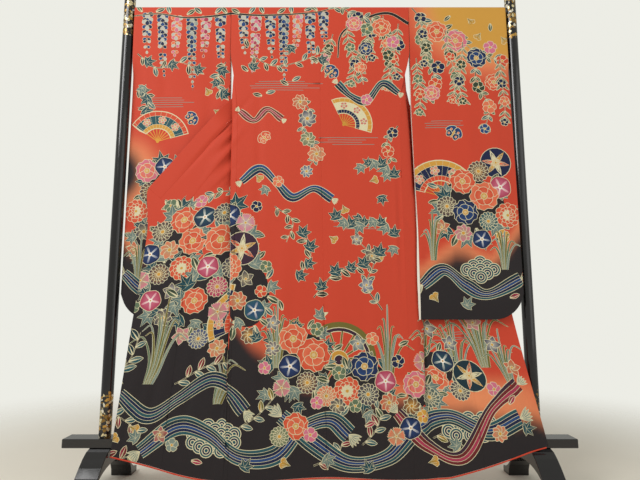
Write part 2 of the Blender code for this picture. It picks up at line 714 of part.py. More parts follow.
def soften_edges(made):
    bevel = made.modifiers.new("edges", "BEVEL")
    bevel.width = BEVEL
    bevel.segments = 1
    bevel.limit_method = "ANGLE"
    bevel.angle_limit = SHARP_ANGLE


def base_board():
    low, high = BOARD_TOP - BOARD_THICKNESS, BOARD_TOP
    d = BOARD_HALF_DEPTH
    made = extruded("base_board", [(-d, low), (d, low), (d, high), (-d, high)], BOARD_HALF_LENGTH, 0.0)
    soften_edges(made)
    return made


def foot(side):
    # An arched foot: its top runs level under the board and sweeps down to a toe at each end
    sign = -1 if side == "left" else 1
    height = FOOT_HEIGHT - GAP
    reach = FOOT_HALF_LENGTH - FOOT_LEVEL_HALF
    top = []
    for k in range(FOOT_STEPS + 1):
        share = k / FOOT_STEPS
        sweep = 0.5 * (1 + math.cos(math.pi * share**TOE_SWEEP))
        top.append((FOOT_LEVEL_HALF + reach * share, TOE_HEIGHT + (height - TOE_HEIGHT) * sweep))
    under = []
    for k in range(FOOT_STEPS + 1):
        angle = math.pi / 2 * k / FOOT_STEPS
        under.append((ARCH_HALF_SPAN * math.sin(angle), ARCH_HEIGHT * math.cos(angle) ** ARCH_FULLNESS))
    outline = [(-y, z) for y, z in reversed(top)] + top
    outline += [(FOOT_HALF_LENGTH, 0.0)] + list(reversed(under))
    outline += [(-y, z) for y, z in under[1:]] + [(-FOOT_HALF_LENGTH, 0.0)]
    made = extruded("foot_" + side, outline, FOOT_WIDTH / 2, sign * POST_OUT)
    soften_edges(made)
    return made


RED_SILK = (0.52, 0.062, 0.028)
WHITE_SILK = (0.86, 0.83, 0.78)
EDGE_RED = (0.45, 0.045, 0.035)
LACQUER = (0.006, 0.006, 0.007)

for old in list(bpy.data.objects):
    bpy.data.objects.remove(old, do_unlink=True)

grids = {}
for side in ("left", "right"):
    grids["back_" + side] = back_panel(side)
    grids["front_" + side] = front_panel(side)
    grids["okumi_" + side] = okumi_panel(side)
for name, rows in grids.items():
    paint(thick_mesh(name, rows, WALL), RED_SILK, 0.6)
paint(hem_edging(grids), EDGE_RED, 0.55)

for side in ("left", "right"):
    paint(sleeve(side), RED_SILK, 0.6)
    paint(sleeve_lining(side), WHITE_SILK, 0.55)
    paint(post(side), LACQUER, 0.12, coat=0.6)
    paint(foot(side), LACQUER, 0.15, coat=0.5)
paint(collar(), RED_SILK, 0.6)
paint(base_board(), LACQUER, 0.18, coat=0.5)
paint(top_rod(), LACQUER, 0.15, coat=0.5)
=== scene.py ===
import math
import random

import bpy
import numpy as np
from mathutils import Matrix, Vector
from mathutils.geometry import delaunay_2d_cdt


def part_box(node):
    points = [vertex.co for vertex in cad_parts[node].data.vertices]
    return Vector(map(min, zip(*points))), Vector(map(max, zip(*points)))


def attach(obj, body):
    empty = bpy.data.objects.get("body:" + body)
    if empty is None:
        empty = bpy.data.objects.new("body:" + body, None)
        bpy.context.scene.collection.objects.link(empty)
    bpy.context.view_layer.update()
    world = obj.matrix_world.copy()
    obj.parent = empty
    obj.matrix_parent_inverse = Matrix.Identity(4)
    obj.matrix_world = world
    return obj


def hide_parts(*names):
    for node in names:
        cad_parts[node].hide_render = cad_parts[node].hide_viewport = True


# A furisode hung on a lacquered kimono stand: the cloth's form, its painted design and each surface's finish
# Metres. X is across, Y away from the viewer, Z up, as in the CAD. "out" is a distance from the centre line

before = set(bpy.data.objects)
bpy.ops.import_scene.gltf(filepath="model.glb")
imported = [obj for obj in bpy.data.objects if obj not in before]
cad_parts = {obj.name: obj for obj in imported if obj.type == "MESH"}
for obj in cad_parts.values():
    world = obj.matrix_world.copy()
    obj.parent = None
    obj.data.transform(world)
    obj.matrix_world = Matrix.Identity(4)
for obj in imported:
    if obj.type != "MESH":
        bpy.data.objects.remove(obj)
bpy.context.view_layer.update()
print("frame loaded:", len(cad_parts), "nodes")

view = {"place": (0.0, -1.62, 0.564), "tiltUp": 8.0, "lens": 27.56, "sensor": 36.0}


def addObject(name, data):
    made = bpy.data.objects.new(name, data)
    bpy.context.scene.collection.objects.link(made)
    return made


def makeCamera():
    data = bpy.data.cameras.new("camera")
    data.lens = view["lens"]
    data.sensor_width = view["sensor"]
    camera = addObject("camera", data)
    camera.location = view["place"]
    camera.rotation_euler = (math.radians(90 + view["tiltUp"]), 0.0, 0.0)
    bpy.context.scene.camera = camera


makeCamera()
print("camera placed")


def ink(code):  # a colour written as on a paint chart, turned to linear light
    parts = [int(code[k:k + 2], 16) / 255 for k in (0, 2, 4)]
    return tuple(p / 12.92 if p <= 0.04045 else ((p + 0.055) / 1.055) ** 2.4 for p in parts)


# Sizes of the cut and of the hang, as the CAD has them
rodLow, rodHigh = (Vector(p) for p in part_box("top_rod"))
rodHeight = (rodLow.z + rodHigh.z) / 2
rodRadius = (rodHigh.z - rodLow.z) / 2
gap = 0.0003
wall = 0.0016
restRadius = rodRadius + 2 * gap + wall / 2

frontTop = (
    (rodHeight, 0.3138, restRadius, 0.255, restRadius, 0.165, restRadius, restRadius, restRadius),
    (1.5, 0.3125, 0.012, 0.262, 0.012, 0.15, 0.014, 0.0155, 0.0155),
)
cutBody = {
    "hem": (
        (-0.66, 0.122), (-0.546, 0.096), (-0.405, 0.06), (-0.28, 0.044), (-0.2, 0.045), (0.025, 0.058),
        (0.234, 0.05), (0.354, 0.056), (0.473, 0.081), (0.577, 0.112), (0.646, 0.136), (0.7, 0.15),
    ),
    # height, centre seam across, depth of the back
    "back": (
        (rodHeight, 0.0, -restRadius), (1.45, 0.0, -0.0165), (1.296, 0.001, -0.02), (1.1, 0.003, -0.025),
        (0.927, 0.007, -0.0285), (0.524, 0.014, -0.0355), (0.3, 0.018, -0.04), (0.04, 0.022, -0.046),
    ),
    # height, seam out and depth, outer fold out and depth, inner fold out and depth, rear and ahead depths
    "front": {
        "left": (
            *frontTop,
            (1.44, 0.311, 0.006, 0.275, 0.01, 0.122, 0.015, 0.018, 0.017),
            (1.37, 0.3, -0.008, 0.293, 0.003, 0.138, 0.011, 0.018, 0.004),
            (1.296, 0.2885, -0.02, 0.303, -0.014, 0.137, 0.0, 0.009, -0.011),
            (1.2, 0.281, -0.0225, 0.3, -0.017, 0.167, -0.005, 0.004, -0.017),
            (1.1, 0.279, -0.025, 0.3, -0.0195, 0.193, -0.008, 0.001, -0.02),
            (0.927, 0.278, -0.0285, 0.2985, -0.0235, 0.236, -0.013, -0.006, -0.024),
            (0.8, 0.279, -0.031, 0.296, -0.0265, 0.2475, -0.018, -0.012, -0.027),
            (0.524, 0.279, -0.0355, 0.29, -0.033, 0.262, -0.0265, -0.0215, -0.033),
            (0.3, 0.2795, -0.04, 0.292, -0.043, 0.287, -0.033, -0.031, -0.0385),
            (0.2, 0.28, -0.0425, 0.292, -0.0445, 0.314, -0.039, -0.0385, -0.0415),
            (0.04, 0.28, -0.046, 0.3, -0.0465, 0.33, -0.0455, -0.0455, -0.046),
        ),
        "right": (
            *frontTop,
            (1.44, 0.311, 0.006, 0.27, 0.01, 0.122, 0.015, 0.018, 0.018),
            (1.37, 0.295, -0.008, 0.288, 0.003, 0.138, 0.011, 0.019, 0.016),
            (1.296, 0.279, -0.02, 0.307, 0.008, 0.137, 0.008, 0.022, 0.021),
            (1.2, 0.2735, -0.0225, 0.326, 0.023, 0.18, 0.015, 0.031, 0.03),
            (1.1, 0.273, -0.025, 0.334, 0.021, 0.215, 0.014, 0.03, 0.029),
            (0.927, 0.274, -0.0285, 0.338, 0.0, 0.268, 0.006, 0.014, 0.008),
            (0.8, 0.276, -0.031, 0.34, -0.007, 0.29, 0.002, 0.009, 0.001),
            (0.524, 0.28, -0.0355, 0.335, -0.016, 0.308, -0.01, -0.005, -0.011),
            (0.3, 0.284, -0.04, 0.328, -0.042, 0.323, -0.03, -0.028, -0.037),
            (0.2, 0.286, -0.0425, 0.324, -0.0455, 0.348, -0.04, -0.04, -0.049),
            (0.04, 0.288, -0.046, 0.32, -0.047, 0.355, -0.049, -0.049, -0.06),
        ),
    },
    "okumiWidth": ((1.32, 0.01), (1.2, 0.055), (1.1, 0.085), (1.0, 0.095), (0.9265, 0.102)),
    "okumiSeam": {
        "left": ((0.8, 0.43), (0.524, 0.446), (0.3, 0.466), (0.04, 0.487)),
        "right": ((0.8, 0.424), (0.524, 0.458), (0.3, 0.482), (0.04, 0.502)),
    },
    "frontEdge": {
        "left": ((0.9625, 0.574), (0.825, 0.568), (0.524, 0.6), (0.3, 0.624), (0.118, 0.643)),
        "right": ((0.965, 0.556), (0.825, 0.578), (0.534, 0.6265), (0.3, 0.668), (0.14, 0.699)),
    },
    "upperHeights": (
        1.615, 1.56, 1.5, 1.45, 1.41, 1.38, 1.35, 1.32, 1.296, 1.265, 1.23, 1.19, 1.14, 1.08, 1.01, 0.9265,
    ),
    "belowCorner": 0.9225, "cornerHeight": 0.9265, "okumiTip": 1.32, "hemLevel": 0.06,
    "lowerSteps": 9, "shoulderAngles": (1, 23, 45, 68), "foldRadius": 0.0034, "foldBlend": 0.02,
    "frontShares": (0.25, 0.45, 0.65, 0.82, 1.0), "seamReach": 0.00012, "settling": (0.015, 0.025),
    # the lip beside the side seam: shares of the way out and back, a step, and its drop, plain and sunk
    "lip": (0.55, 0.18, 0.005, 0.15, 0.7),
    "sunkFrom": (1.33, 1.27), "sunkTo": (0.96, 1.04), "sunkSide": "right",
}
cutCollar = {
    "width": 0.057, "thickness": 0.003, "turnStart": 1.38, "crossing": (0.301, 1.296), "rows": 12,
    "end": {"left": (0.574, 0.9625), "right": (0.556, 0.965)},
    # seam out, seam depth, seam height, free edge out, its depth, its height
    "turn": (
        (0.113, 0.0385, 1.445, 0.148, 0.058, 1.485), (0.0915, 0.0325, 1.5, 0.1, 0.085, 1.52),
        (0.0865, 0.023, 1.552, 0.05, 0.06, 1.535), (0.0835, 0.0185, 1.588, 0.04, 0.035, 1.56),
    ),
    # height, out and depth of the front panel's edge that the collar rolls back
    "neckEdge": (
        (1.41, 0.134, 0.029), (1.445, 0.113, 0.036), (1.5, 0.094, 0.03), (1.56, 0.088, 0.019),
        (rodHeight, 0.085, restRadius),
    ),
    # across, degrees from the rod's top, lean to the centre
    "neckTurn": (
        (0.082, 90, 0.754), (0.0812, 70, 0.775), (0.079, 50, 0.789), (0.075, 28, 0.772), (0.066, 3, 0.684),
        (0.043, 3, 0.44), (0.015, 3, 0.158),
    ),
    "shares": (0.0, 0.09, 0.18, 0.28, 0.4, 0.62, 1.0), "slope": 0.05, "seamShare": 0.99,
}
cutSleeve = {
    "cuffOut": 0.657, "bottom": 0.53, "corner": 0.1, "cornerShare": 0.985, "cuffBottom": 1.4,
    "cuffEase": 0.05, "closedHalf": 0.0003, "closing": 0.05, "columns": 26, "rows": 30,
    "overAngles": (-68, -45, -23, 0, 23, 45, 68),
    "furiEdge": (
        (1.615, 0.3142), (1.44, 0.3142), (1.26, 0.3125), (1.03, 0.3165), (0.8, 0.3225), (0.53, 0.3225),
    ),
    # height, middle depth, half depth
    "left": (
        (rodHeight, 0.0, restRadius), (1.45, 0.003, 0.0115), (1.3, 0.01, 0.007), (1.0, 0.009, 0.006),
        (0.53, 0.005, 0.005),
    ),
    "right": (
        (rodHeight, 0.0, restRadius), (1.45, -0.004, 0.0115), (1.3, -0.013, 0.007),
        (1.0, -0.0215, 0.0055), (0.53, -0.034, 0.005),
    ),
}


def smooth(start, end, value):
    share = np.clip((value - start) / (end - start), 0.0, 1.0)
    return share * share * (3 - 2 * share)


def readTable(rows, value):  # the other columns of a cut table, on a smooth curve
    rows = sorted(rows)
    value = min(max(value, rows[0][0]), rows[-1][0])
    after = next(i for i in range(1, len(rows)) if value <= rows[i][0])
    low, high = rows[after - 1], rows[after]
    before, beyond = rows[max(after - 2, 0)], rows[min(after + 1, len(rows) - 1)]
    span = high[0] - low[0]
    share = (value - low[0]) / span
    result = []
    for column in range(1, len(low)):
        slopeLow = (high[column] - before[column]) / (high[0] - before[0]) * span
        slopeHigh = (beyond[column] - low[column]) / (beyond[0] - low[0]) * span
        rise = high[column] - low[column]
        slopeLow = 0.0 if slopeLow * rise <= 0 else slopeLow
        slopeHigh = 0.0 if slopeHigh * rise <= 0 else slopeHigh
        result.append(
            low[column] * (1 + 2 * share) * (1 - share) ** 2 + slopeLow * share * (1 - share) ** 2
            + high[column] * share**2 * (3 - 2 * share) + slopeHigh * share**2 * (share - 1)
        )
    return result


def sideSign(side):
    return -1 if side == "left" else 1


def hemHeight(across):
    return readTable(cutBody["hem"], across)[0]


def collarFrame(side):  # the collar's straight stretch: start, end, direction, step from free edge to seam
    start, end = Vector(cutCollar["crossing"]), Vector(cutCollar["end"][side])
    along = (end - start).normalized()
    return start, end, along, Vector((along.y, -along.x)) * cutCollar["width"]


def neckEdge(side, straight, height):
    start = cutCollar["turnStart"]
    first = (start, straight, mainDepth(side, straight, start))
    return readTable((first,) + cutCollar["neckEdge"], height)


def collarSeamOut(side, height):
    start, _, along, step = collarFrame(side)
    line = start + step
    straight = line.x + along.x * (min(height, cutCollar["turnStart"]) - line.y) / along.y
    return neckEdge(side, straight, height)[0] if height > cutCollar["turnStart"] else straight


def okumiSeamOut(side, height):
    corner = cutBody["cornerHeight"]
    if height >= corner:
        return collarSeamOut(side, height) - readTable(cutBody["okumiWidth"], height)[0]
    first = (corner, collarSeamOut(side, corner) - cutBody["okumiWidth"][-1][1])
    return readTable((first,) + cutBody["okumiSeam"][side], height)[0]


def mainDepth(side, out, height):  # depth of the front's last stretch, behind its folds and then past them
    row = readTable(cutBody["front"][side], height)
    foldOut, rear, ahead = row[2], row[6], row[7]
    before, after = cutBody["settling"]
    return rear + (ahead - rear) * smooth(foldOut - before, foldOut + after, out)


def rowHeights(hem):
    start, steps = cutBody["belowCorner"], cutBody["lowerSteps"]
    return list(cutBody["upperHeights"]) + [start + (hem - start) * k / steps for k in range(steps + 1)]


def overTheRod(topRow, toward):
    rows = []
    for degrees in cutBody["shoulderAngles"]:
        angle = math.radians(degrees)
        depth, rise = toward * restRadius * math.sin(angle), restRadius * math.cos(angle)
        length = rodHeight + restRadius * (math.pi / 2 - angle)
        rows.append([(p[0], depth, rodHeight + rise, length) for p in topRow])
    return rows


def pushEnds(row, start, end):  # lets a panel's edges meet its neighbours at the seams
    for ready, tip, inner in ((start, 0, 1), (end, -1, -2)):
        if ready:
            way = Vector(row[tip][:3]) - Vector(row[inner][:3])
            moved = Vector(row[tip][:3]) + way.normalized() * cutBody["seamReach"]
            row[tip] = (*moved, row[tip][3])
    return row


def backRows(side):
    sign = sideSign(side)
    seamFoot = readTable(cutBody["back"], cutBody["hemLevel"])[0]
    sideFoot = sign * readTable(cutBody["front"][side], cutBody["hemLevel"])[0]
    columns = [k / 8 for k in range(9)]
    heights = [rowHeights(hemHeight(seamFoot + (sideFoot - seamFoot) * share)) for share in columns]
    rows = []
    for i in range(len(heights[0])):
        row = []
        for j, share in enumerate(columns):
            height = heights[j][i]
            centre, depth = readTable(cutBody["back"], height)
            edge = sign * readTable(cutBody["front"][side], height)[0]
            row.append((centre + (edge - centre) * share, depth, height, height))
        rows.append(pushEnds(row, True, True))
    return overTheRod(rows[0], -1) + rows


def turnPoints(before, turn, after, depth):  # three points round a turn of the cloth
    radius, blend = cutBody["foldRadius"], cutBody["foldBlend"]
    wayIn = min(max((turn - before) / blend, -1.0), 1.0)
    wayOut = min(max((after - turn) / blend, -1.0), 1.0)
    rise = radius * abs(wayIn - wayOut) / 2
    return [(turn - radius * wayIn, depth - rise), (turn, depth), (turn + radius * wayOut, depth + rise)]


def frontSection(side, height):
    seam, seamY, outer, outerY, inner, innerY = readTable(cutBody["front"][side], height)[:6]
    end = okumiSeamOut(side, height) if height <= cutBody["okumiTip"] else collarSeamOut(side, height)
    shareOut, shareBack, step, drop, sunkDrop = cutBody["lip"]
    sunk = smooth(*cutBody["sunkFrom"], height) * smooth(*cutBody["sunkTo"], height)
    drop += sunkDrop * sunk if side == cutBody["sunkSide"] else 0.0
    lip, lipY = seam + (outer - seam) * shareOut, seamY + (outerY - seamY) * shareBack
    points = [(seam, seamY), (lip, lipY), (lip + step, lipY + (outerY - lipY) * drop)]
    points += turnPoints(seam, outer, inner, outerY)
    points.append(((outer + inner) / 2, (outerY + innerY) / 2))
    points += turnPoints(outer, inner, end, innerY)
    rolled = 0.0
    if height > cutCollar["turnStart"]:
        straight = collarSeamOut(side, cutCollar["turnStart"])
        rolled = neckEdge(side, straight, height)[1] - mainDepth(side, end, height)
    for share in cutBody["frontShares"]:
        out = inner + (end - inner) * share
        points.append((out, mainDepth(side, out, height) + rolled * share))
    return points


def frontRows(side):
    sign = sideSign(side)
    foot = frontSection(side, cutBody["hemLevel"])
    heights = [rowHeights(hemHeight(sign * p[0])) for p in foot]
    rows = []
    for i in range(len(heights[0])):
        row = []
        for j in range(len(foot)):
            out, depth = frontSection(side, heights[j][i])[j]
            row.append((sign * out, depth, heights[j][i], heights[j][i]))
        rows.append(pushEnds(row, True, True))
    return overTheRod(rows[0], 1) + rows


def okumiRows(side):
    sign = sideSign(side)
    columns = [k / 4 for k in range(5)]
    footIn, footOut = okumiSeamOut(side, cutBody["hemLevel"]), cutBody["frontEdge"][side][-1][1]
    cornerTop = cutCollar["end"][side][1] - 2 * gap
    steps = cutBody["lowerSteps"]
    tip = cutBody["upperHeights"].index(cutBody["okumiTip"])
    heights = []
    for share in columns:
        column = rowHeights(hemHeight(sign * (footIn + (footOut - footIn) * share)))[tip:]
        if share == 1:
            column[-steps - 1] = cornerTop
        heights.append(column)
    rows = []
    for i in range(len(heights[0])):
        underCollar = i < len(heights[0]) - steps - 1
        row = []
        for share, column in zip(columns, heights):
            height = column[i]
            inner = okumiSeamOut(side, height if underCollar else min(height, cutBody["belowCorner"]))
            edge = readTable(cutBody["frontEdge"][side], height)[0]
            outer = collarSeamOut(side, height) if underCollar else edge
            out = inner + (outer - inner) * share
            row.append((sign * out, mainDepth(side, out, height), height, height))
        rows.append(pushEnds(row, True, underCollar))
    return rows


def collarHalf(side):
    sign = sideSign(side)
    _, end, along, step = collarFrame(side)
    length = (cutCollar["turnStart"] - (end + step).y) / -along.y
    ends = []
    for k in range(cutCollar["rows"]):
        free = end - along * (length * k / (cutCollar["rows"] - 1) + gap * 2)
        seam = free + step * cutCollar["seamShare"]
        ends.append((
            (sign * seam.x, mainDepth(side, seam.x, seam.y), seam.y),
            (sign * free.x, mainDepth(side, free.x, free.y), free.y),
        ))
    for seamOut, seamY, seamZ, freeOut, freeY, freeZ in cutCollar["turn"]:
        ends.append(((sign * seamOut, seamY, seamZ), (sign * freeOut, freeY, freeZ)))
    rows = []
    for seam, free in ends:
        rows.append([
            tuple(a + (b - a) * share for a, b in zip(seam, free)) for share in cutCollar["shares"]
        ])
    return rows


def neckRow(sign, across, degrees, lean):
    radius = rodRadius + 4 * gap + cutCollar["thickness"] / 2
    upright, start = math.sqrt(1 - lean * lean), math.radians(degrees)
    row = []
    for share in cutCollar["shares"]:
        run = cutCollar["width"] * share
        angle = min(start + run * upright / radius, math.pi / 2)
        drop = max(run * upright - radius * (math.pi / 2 - start), 0.0)
        depth = radius * math.sin(angle) + drop * cutCollar["slope"]
        row.append((sign * (across - lean * run), depth, rodHeight + radius * math.cos(angle) - drop))
    return row


def collarRows():
    rows = collarHalf("left") + [neckRow(-1, *values) for values in cutCollar["neckTurn"]]
    rows += [neckRow(1, *values) for values in cutCollar["neckTurn"][::-1]]
    return rows + collarHalf("right")[::-1]


def sleeveBottom(out):
    corner = cutSleeve["corner"]
    past = min(max(out - (cutSleeve["cuffOut"] - corner), 0.0), corner * cutSleeve["cornerShare"])
    return cutSleeve["bottom"] + corner - math.sqrt(corner**2 - past**2)


def sleeveRows(side):  # the cloth unrolled: up the near wall, over the rod, down the far wall
    sign, cut = sideSign(side), cutSleeve
    near, far, over = [], [], []
    footIn = cut["furiEdge"][-1][1]
    columns = [k / cut["columns"] for k in range(cut["columns"] + 1)]
    for k in range(cut["rows"] + 1):
        nearRow, farRow = [], []
        for share in columns:
            bottom = sleeveBottom(footIn + (cut["cuffOut"] - footIn) * share)
            height = rodHeight + (bottom - rodHeight) * k / cut["rows"]
            furi = readTable(cut["furiEdge"], height)[0]
            out = furi + (cut["cuffOut"] - furi) * share
            middle, half = readTable(cut[side], height)
            ease = cut["cuffEase"] / 2
            sewn = smooth(cut["cuffBottom"] + ease, cut["cuffBottom"] - ease, height)
            openShare = 1 - sewn * (1 - smooth(0.0, cut["closing"], cut["cuffOut"] - out))
            openShare *= smooth(0.0, cut["closing"], height - bottom)
            half = cut["closedHalf"] + (half - cut["closedHalf"]) * openShare
            nearRow.append((sign * out, middle - half, height, height))
            farRow.append((sign * out, middle + half, height, 2 * rodHeight + math.pi * restRadius - height))
        near.append(nearRow)
        far.append(farRow)
    for degrees in cut["overAngles"]:
        angle = math.radians(degrees)
        length = rodHeight + restRadius * (math.pi / 2 + angle)
        depth, rise = restRadius * math.sin(angle), restRadius * math.cos(angle)
        over.append([(p[0], depth, rodHeight + rise, length) for p in near[0]])
    return near[::-1] + over + far


weave = {  # steps of the fine net in metres, squares cut as one tile, and lines over the rounded rim as shares
    "stepAcross": 0.0065, "stepDown": 0.015, "turnSteps": 4, "tile": (10, 5), "rim": (0.0, 0.12, 0.45, 1.0),
    "straight": 4e-5, "closest": 5e-5, "shortest": 2e-5, "merge": 1e-6,
}


def unit(ways, least=1e-9):  # the same directions in length 1
    return ways / np.maximum(np.linalg.norm(ways, axis=-1, keepdims=True), least)


def runAlong(path):  # the length of a path up to each of its points
    return np.concatenate([[0], np.linalg.norm(np.diff(path, axis=0), axis=1).cumsum()])


def between(low, high, slopeLow, slopeHigh, t):  # a smooth run from one value to the next
    return (low * (1 + 2 * t) * (1 - t) ** 2 + slopeLow * t * (1 - t) ** 2
            + high * t * t * (3 - 2 * t) + slopeHigh * t * t * (t - 1))


def refine(rows, step):
    # A smooth run of rows through the given ones: rows is (n, m, k), the first three of k are a place
    chord = np.linalg.norm(np.diff(rows[..., :3], axis=0), axis=2)
    lengths = np.maximum(chord, 1e-6)
    slope = np.empty_like(rows)
    slope[0] = (rows[1] - rows[0]) / lengths[0][:, None]
    slope[-1] = (rows[-1] - rows[-2]) / lengths[-1][:, None]
    slope[1:-1] = (rows[2:] - rows[:-2]) / (lengths[:-1] + lengths[1:])[..., None]
    out = []
    for i in range(len(rows) - 1):
        mean = float(np.median(chord[i]))
        count = max(1 if mean > step * 0.7 else weave["turnSteps"] - 1, math.ceil(mean / step))
        span = lengths[i][:, None]
        for k in range(count):
            out.append(between(rows[i], rows[i + 1], slope[i] * span, slope[i + 1] * span, k / count))
    out.append(rows[-1])
    return np.array(out)


def makeLattice(rows, sign, facing, folds, startAcross=None, thick=wall, coarse=1.0):
    # A fine net over a panel: places, normals, cloth coordinates (across, down) and distances to its edges
    net = np.array(rows, float)
    net = refine(net, weave["stepDown"] * coarse)
    net = refine(net.transpose(1, 0, 2), weave["stepAcross"] * coarse).transpose(1, 0, 2)
    place, down = net[..., :3].copy(), net[..., 3].copy()
    place[..., 1] += folds(place[..., 0], place[..., 2])
    lengthAcross = np.linalg.norm(np.diff(place, axis=1), axis=2).cumsum(1)
    runAcross = np.concatenate([np.zeros((len(place), 1)), lengthAcross], 1)
    lengthDown = np.linalg.norm(np.diff(place, axis=0), axis=2).cumsum(0)
    runDown = np.concatenate([np.zeros((1, place.shape[1])), lengthDown], 0)
    tangentAcross = np.gradient(place, axis=1)
    tangentDown = np.gradient(place, axis=0)
    normal = unit(np.cross(tangentAcross, tangentDown), 1e-12)
    if normal[facing][..., 1].mean() > 0:  # the rows named by facing look to the viewer
        normal = -normal
    across = place[..., 0].copy() if startAcross is None else startAcross(down[:, :1]) + sign * runAcross
    return {
        "place": place, "normal": normal, "across": across, "down": down, "sign": sign, "thick": thick,
        "alongRow": unit(tangentAcross), "alongColumn": unit(tangentDown),
        "edges": np.stack([runAcross, runAcross[:, -1:] - runAcross, runDown, runDown[-1:] - runDown], 2),
        "a": runAcross.mean(0) + np.arange(place.shape[1]) * 1e-5,
        "b": runDown.mean(1) + np.arange(place.shape[0]) * 1e-5,
    }


def bracket(values, wanted):  # index and share of each wanted number among rising values
    index = np.clip(np.searchsorted(values, wanted, side="right") - 1, 0, len(values) - 2)
    share = (wanted - values[index]) / (values[index + 1] - values[index])
    return index, share


def bracketRows(table, wanted):  # the same where each wanted number has its own rising row
    index = np.clip((table <= wanted[:, None]).sum(1) - 1, 0, table.shape[1] - 2)
    pick = np.arange(len(wanted))
    low, high = table[pick, index], table[pick, index + 1]
    return index, (wanted - low) / np.maximum(high - low, 1e-7)


def toPlane(lattice, points):  # cloth coordinates (across, down) to the flat net's own
    across, down = points[:, 0] * lattice["sign"], points[:, 1]
    rising = 1 if lattice["down"][-1, 0] > lattice["down"][0, 0] else -1
    rowOf = np.full(len(points), len(lattice["b"]) / 2)
    for _ in range(4):
        i = np.clip(rowOf.astype(int), 0, len(lattice["b"]) - 2)
        f = np.clip(rowOf - i, 0, 1)[:, None]
        table = (lattice["across"][i] * (1 - f) + lattice["across"][i + 1] * f) * lattice["sign"]
        j, g = bracketRows(table, across)
        gc = np.clip(g, 0, 1)[:, None]
        table = (lattice["down"][:, j].T * (1 - gc) + lattice["down"][:, j + 1].T * gc) * rising
        i, f = bracketRows(table, down * rising)
        rowOf = np.clip(i + f, 0, len(lattice["b"]) - 1.001)
    a = lattice["a"][j] + g * (lattice["a"][j + 1] - lattice["a"][j])
    b = lattice["b"][i] + f * (lattice["b"][i + 1] - lattice["b"][i])
    return np.stack([a, b], 1)


def sample(lattice, name, i, f, j, g):
    table = lattice[name]
    if table.ndim == 2:
        table = table[..., None]
    f, g = f[:, None], g[:, None]
    return (table[i, j] * (1 - f) * (1 - g) + table[i + 1, j] * f * (1 - g)
            + table[i, j + 1] * (1 - f) * g + table[i + 1, j + 1] * f * g)


def clipToBox(points, low, high):  # a polygon cut off at the flat net's borders
    for axis in (0, 1):
        for limit, side in ((low[axis], 1), (high[axis], -1)):
            inside = (points[:, axis] - limit) * side >= 0
            if inside.all():
                continue
            if not inside.any():
                return points[:0]
            kept = []
            for k in range(len(points)):
                p, q = points[k - 1], points[k]
                if inside[k] != inside[k - 1]:
                    share = (limit - p[axis]) / (q[axis] - p[axis])
                    cut = p + (q - p) * share
                    cut[axis] = limit
                    kept.append(cut)
                if inside[k]:
                    kept.append(q)
            points = np.array(kept)
    return points


def turnsLeft(points):
    after = np.roll(points, -1, 0)
    return np.sum(points[:, 0] * after[:, 1] - after[:, 0] * points[:, 1]) > 0


def shownLines(places, faces, top):  # the lines between different shapes, straight ones in one length
    pairs = np.sort(np.concatenate([faces[:, [0, 1]], faces[:, [1, 2]], faces[:, [2, 0]]]), axis=1)
    label = np.tile(top, 3)
    order = np.lexsort((pairs[:, 1], pairs[:, 0]))
    pairs, label = pairs[order], label[order]
    border = (pairs[1:] == pairs[:-1]).all(1) & (label[1:] != label[:-1])
    links = {}
    for a, b in pairs[1:][border].tolist():
        links.setdefault(a, set()).add(b)
        links.setdefault(b, set()).add(a)
    for middle in list(links):
        if len(links[middle]) != 2:
            continue
        a, b = links[middle]
        (ax, ay), (bx, by), (mx, my) = places[a], places[b], places[middle]
        length = math.hypot(bx - ax, by - ay)
        away = abs((bx - ax) * (my - ay) - (by - ay) * (mx - ax)) / max(length, 1e-9)
        if away < weave["straight"] and b not in links[a]:
            links[a] = links[a] - {middle} | {b}
            links[b] = links[b] - {middle} | {a}
            del links[middle]
    return sorted({(min(a, b), max(a, b)) for a in links for b in links[a]})


def keepShown(grid, places, faces, top):  # the tile again with only the lines that show
    lines = shownLines(places, faces, top)
    used = sorted({k for line in lines for k in line})
    number = {k: len(grid) + i for i, k in enumerate(used)}
    points = np.concatenate([grid, places[used]]) if used else grid
    ends = [(number[a], number[b]) for a, b in lines]
    found = delaunay_2d_cdt([Vector(p) for p in points], ends, [], 0, weave["merge"], False)
    again, tiles = np.array([tuple(p) for p in found[0]]), np.array(found[2])
    middle = again[tiles].mean(1)
    start, one, two = (places[faces[:, k]] for k in range(3))
    one, two = one - start, two - start
    size = one[:, 0] * two[:, 1] - one[:, 1] * two[:, 0]
    size = np.where(np.abs(size) < 1e-14, 1e-14, size)
    x, y = middle[:, :1] - start[:, 0], middle[:, 1:] - start[:, 1]
    u, v = (x * two[:, 1] - y * two[:, 0]) / size, (y * one[:, 0] - x * one[:, 1]) / size
    host = np.minimum(np.minimum(u, v), 1 - u - v).argmax(1)
    return again, tiles, top[host]


def within(outline, places):  # which places lie inside an outline
    start, end = outline[:, None], np.roll(outline, -1, 0)[:, None]
    rises = (start[..., 1] > places[:, 1]) != (end[..., 1] > places[:, 1])
    run = np.where(rises, end[..., 1] - start[..., 1], 1.0)
    crossing = start[..., 0] + (places[:, 1] - start[..., 1]) * (end[..., 0] - start[..., 0]) / run
    return (rises & (places[:, 0] < crossing)).sum(0) % 2 == 1


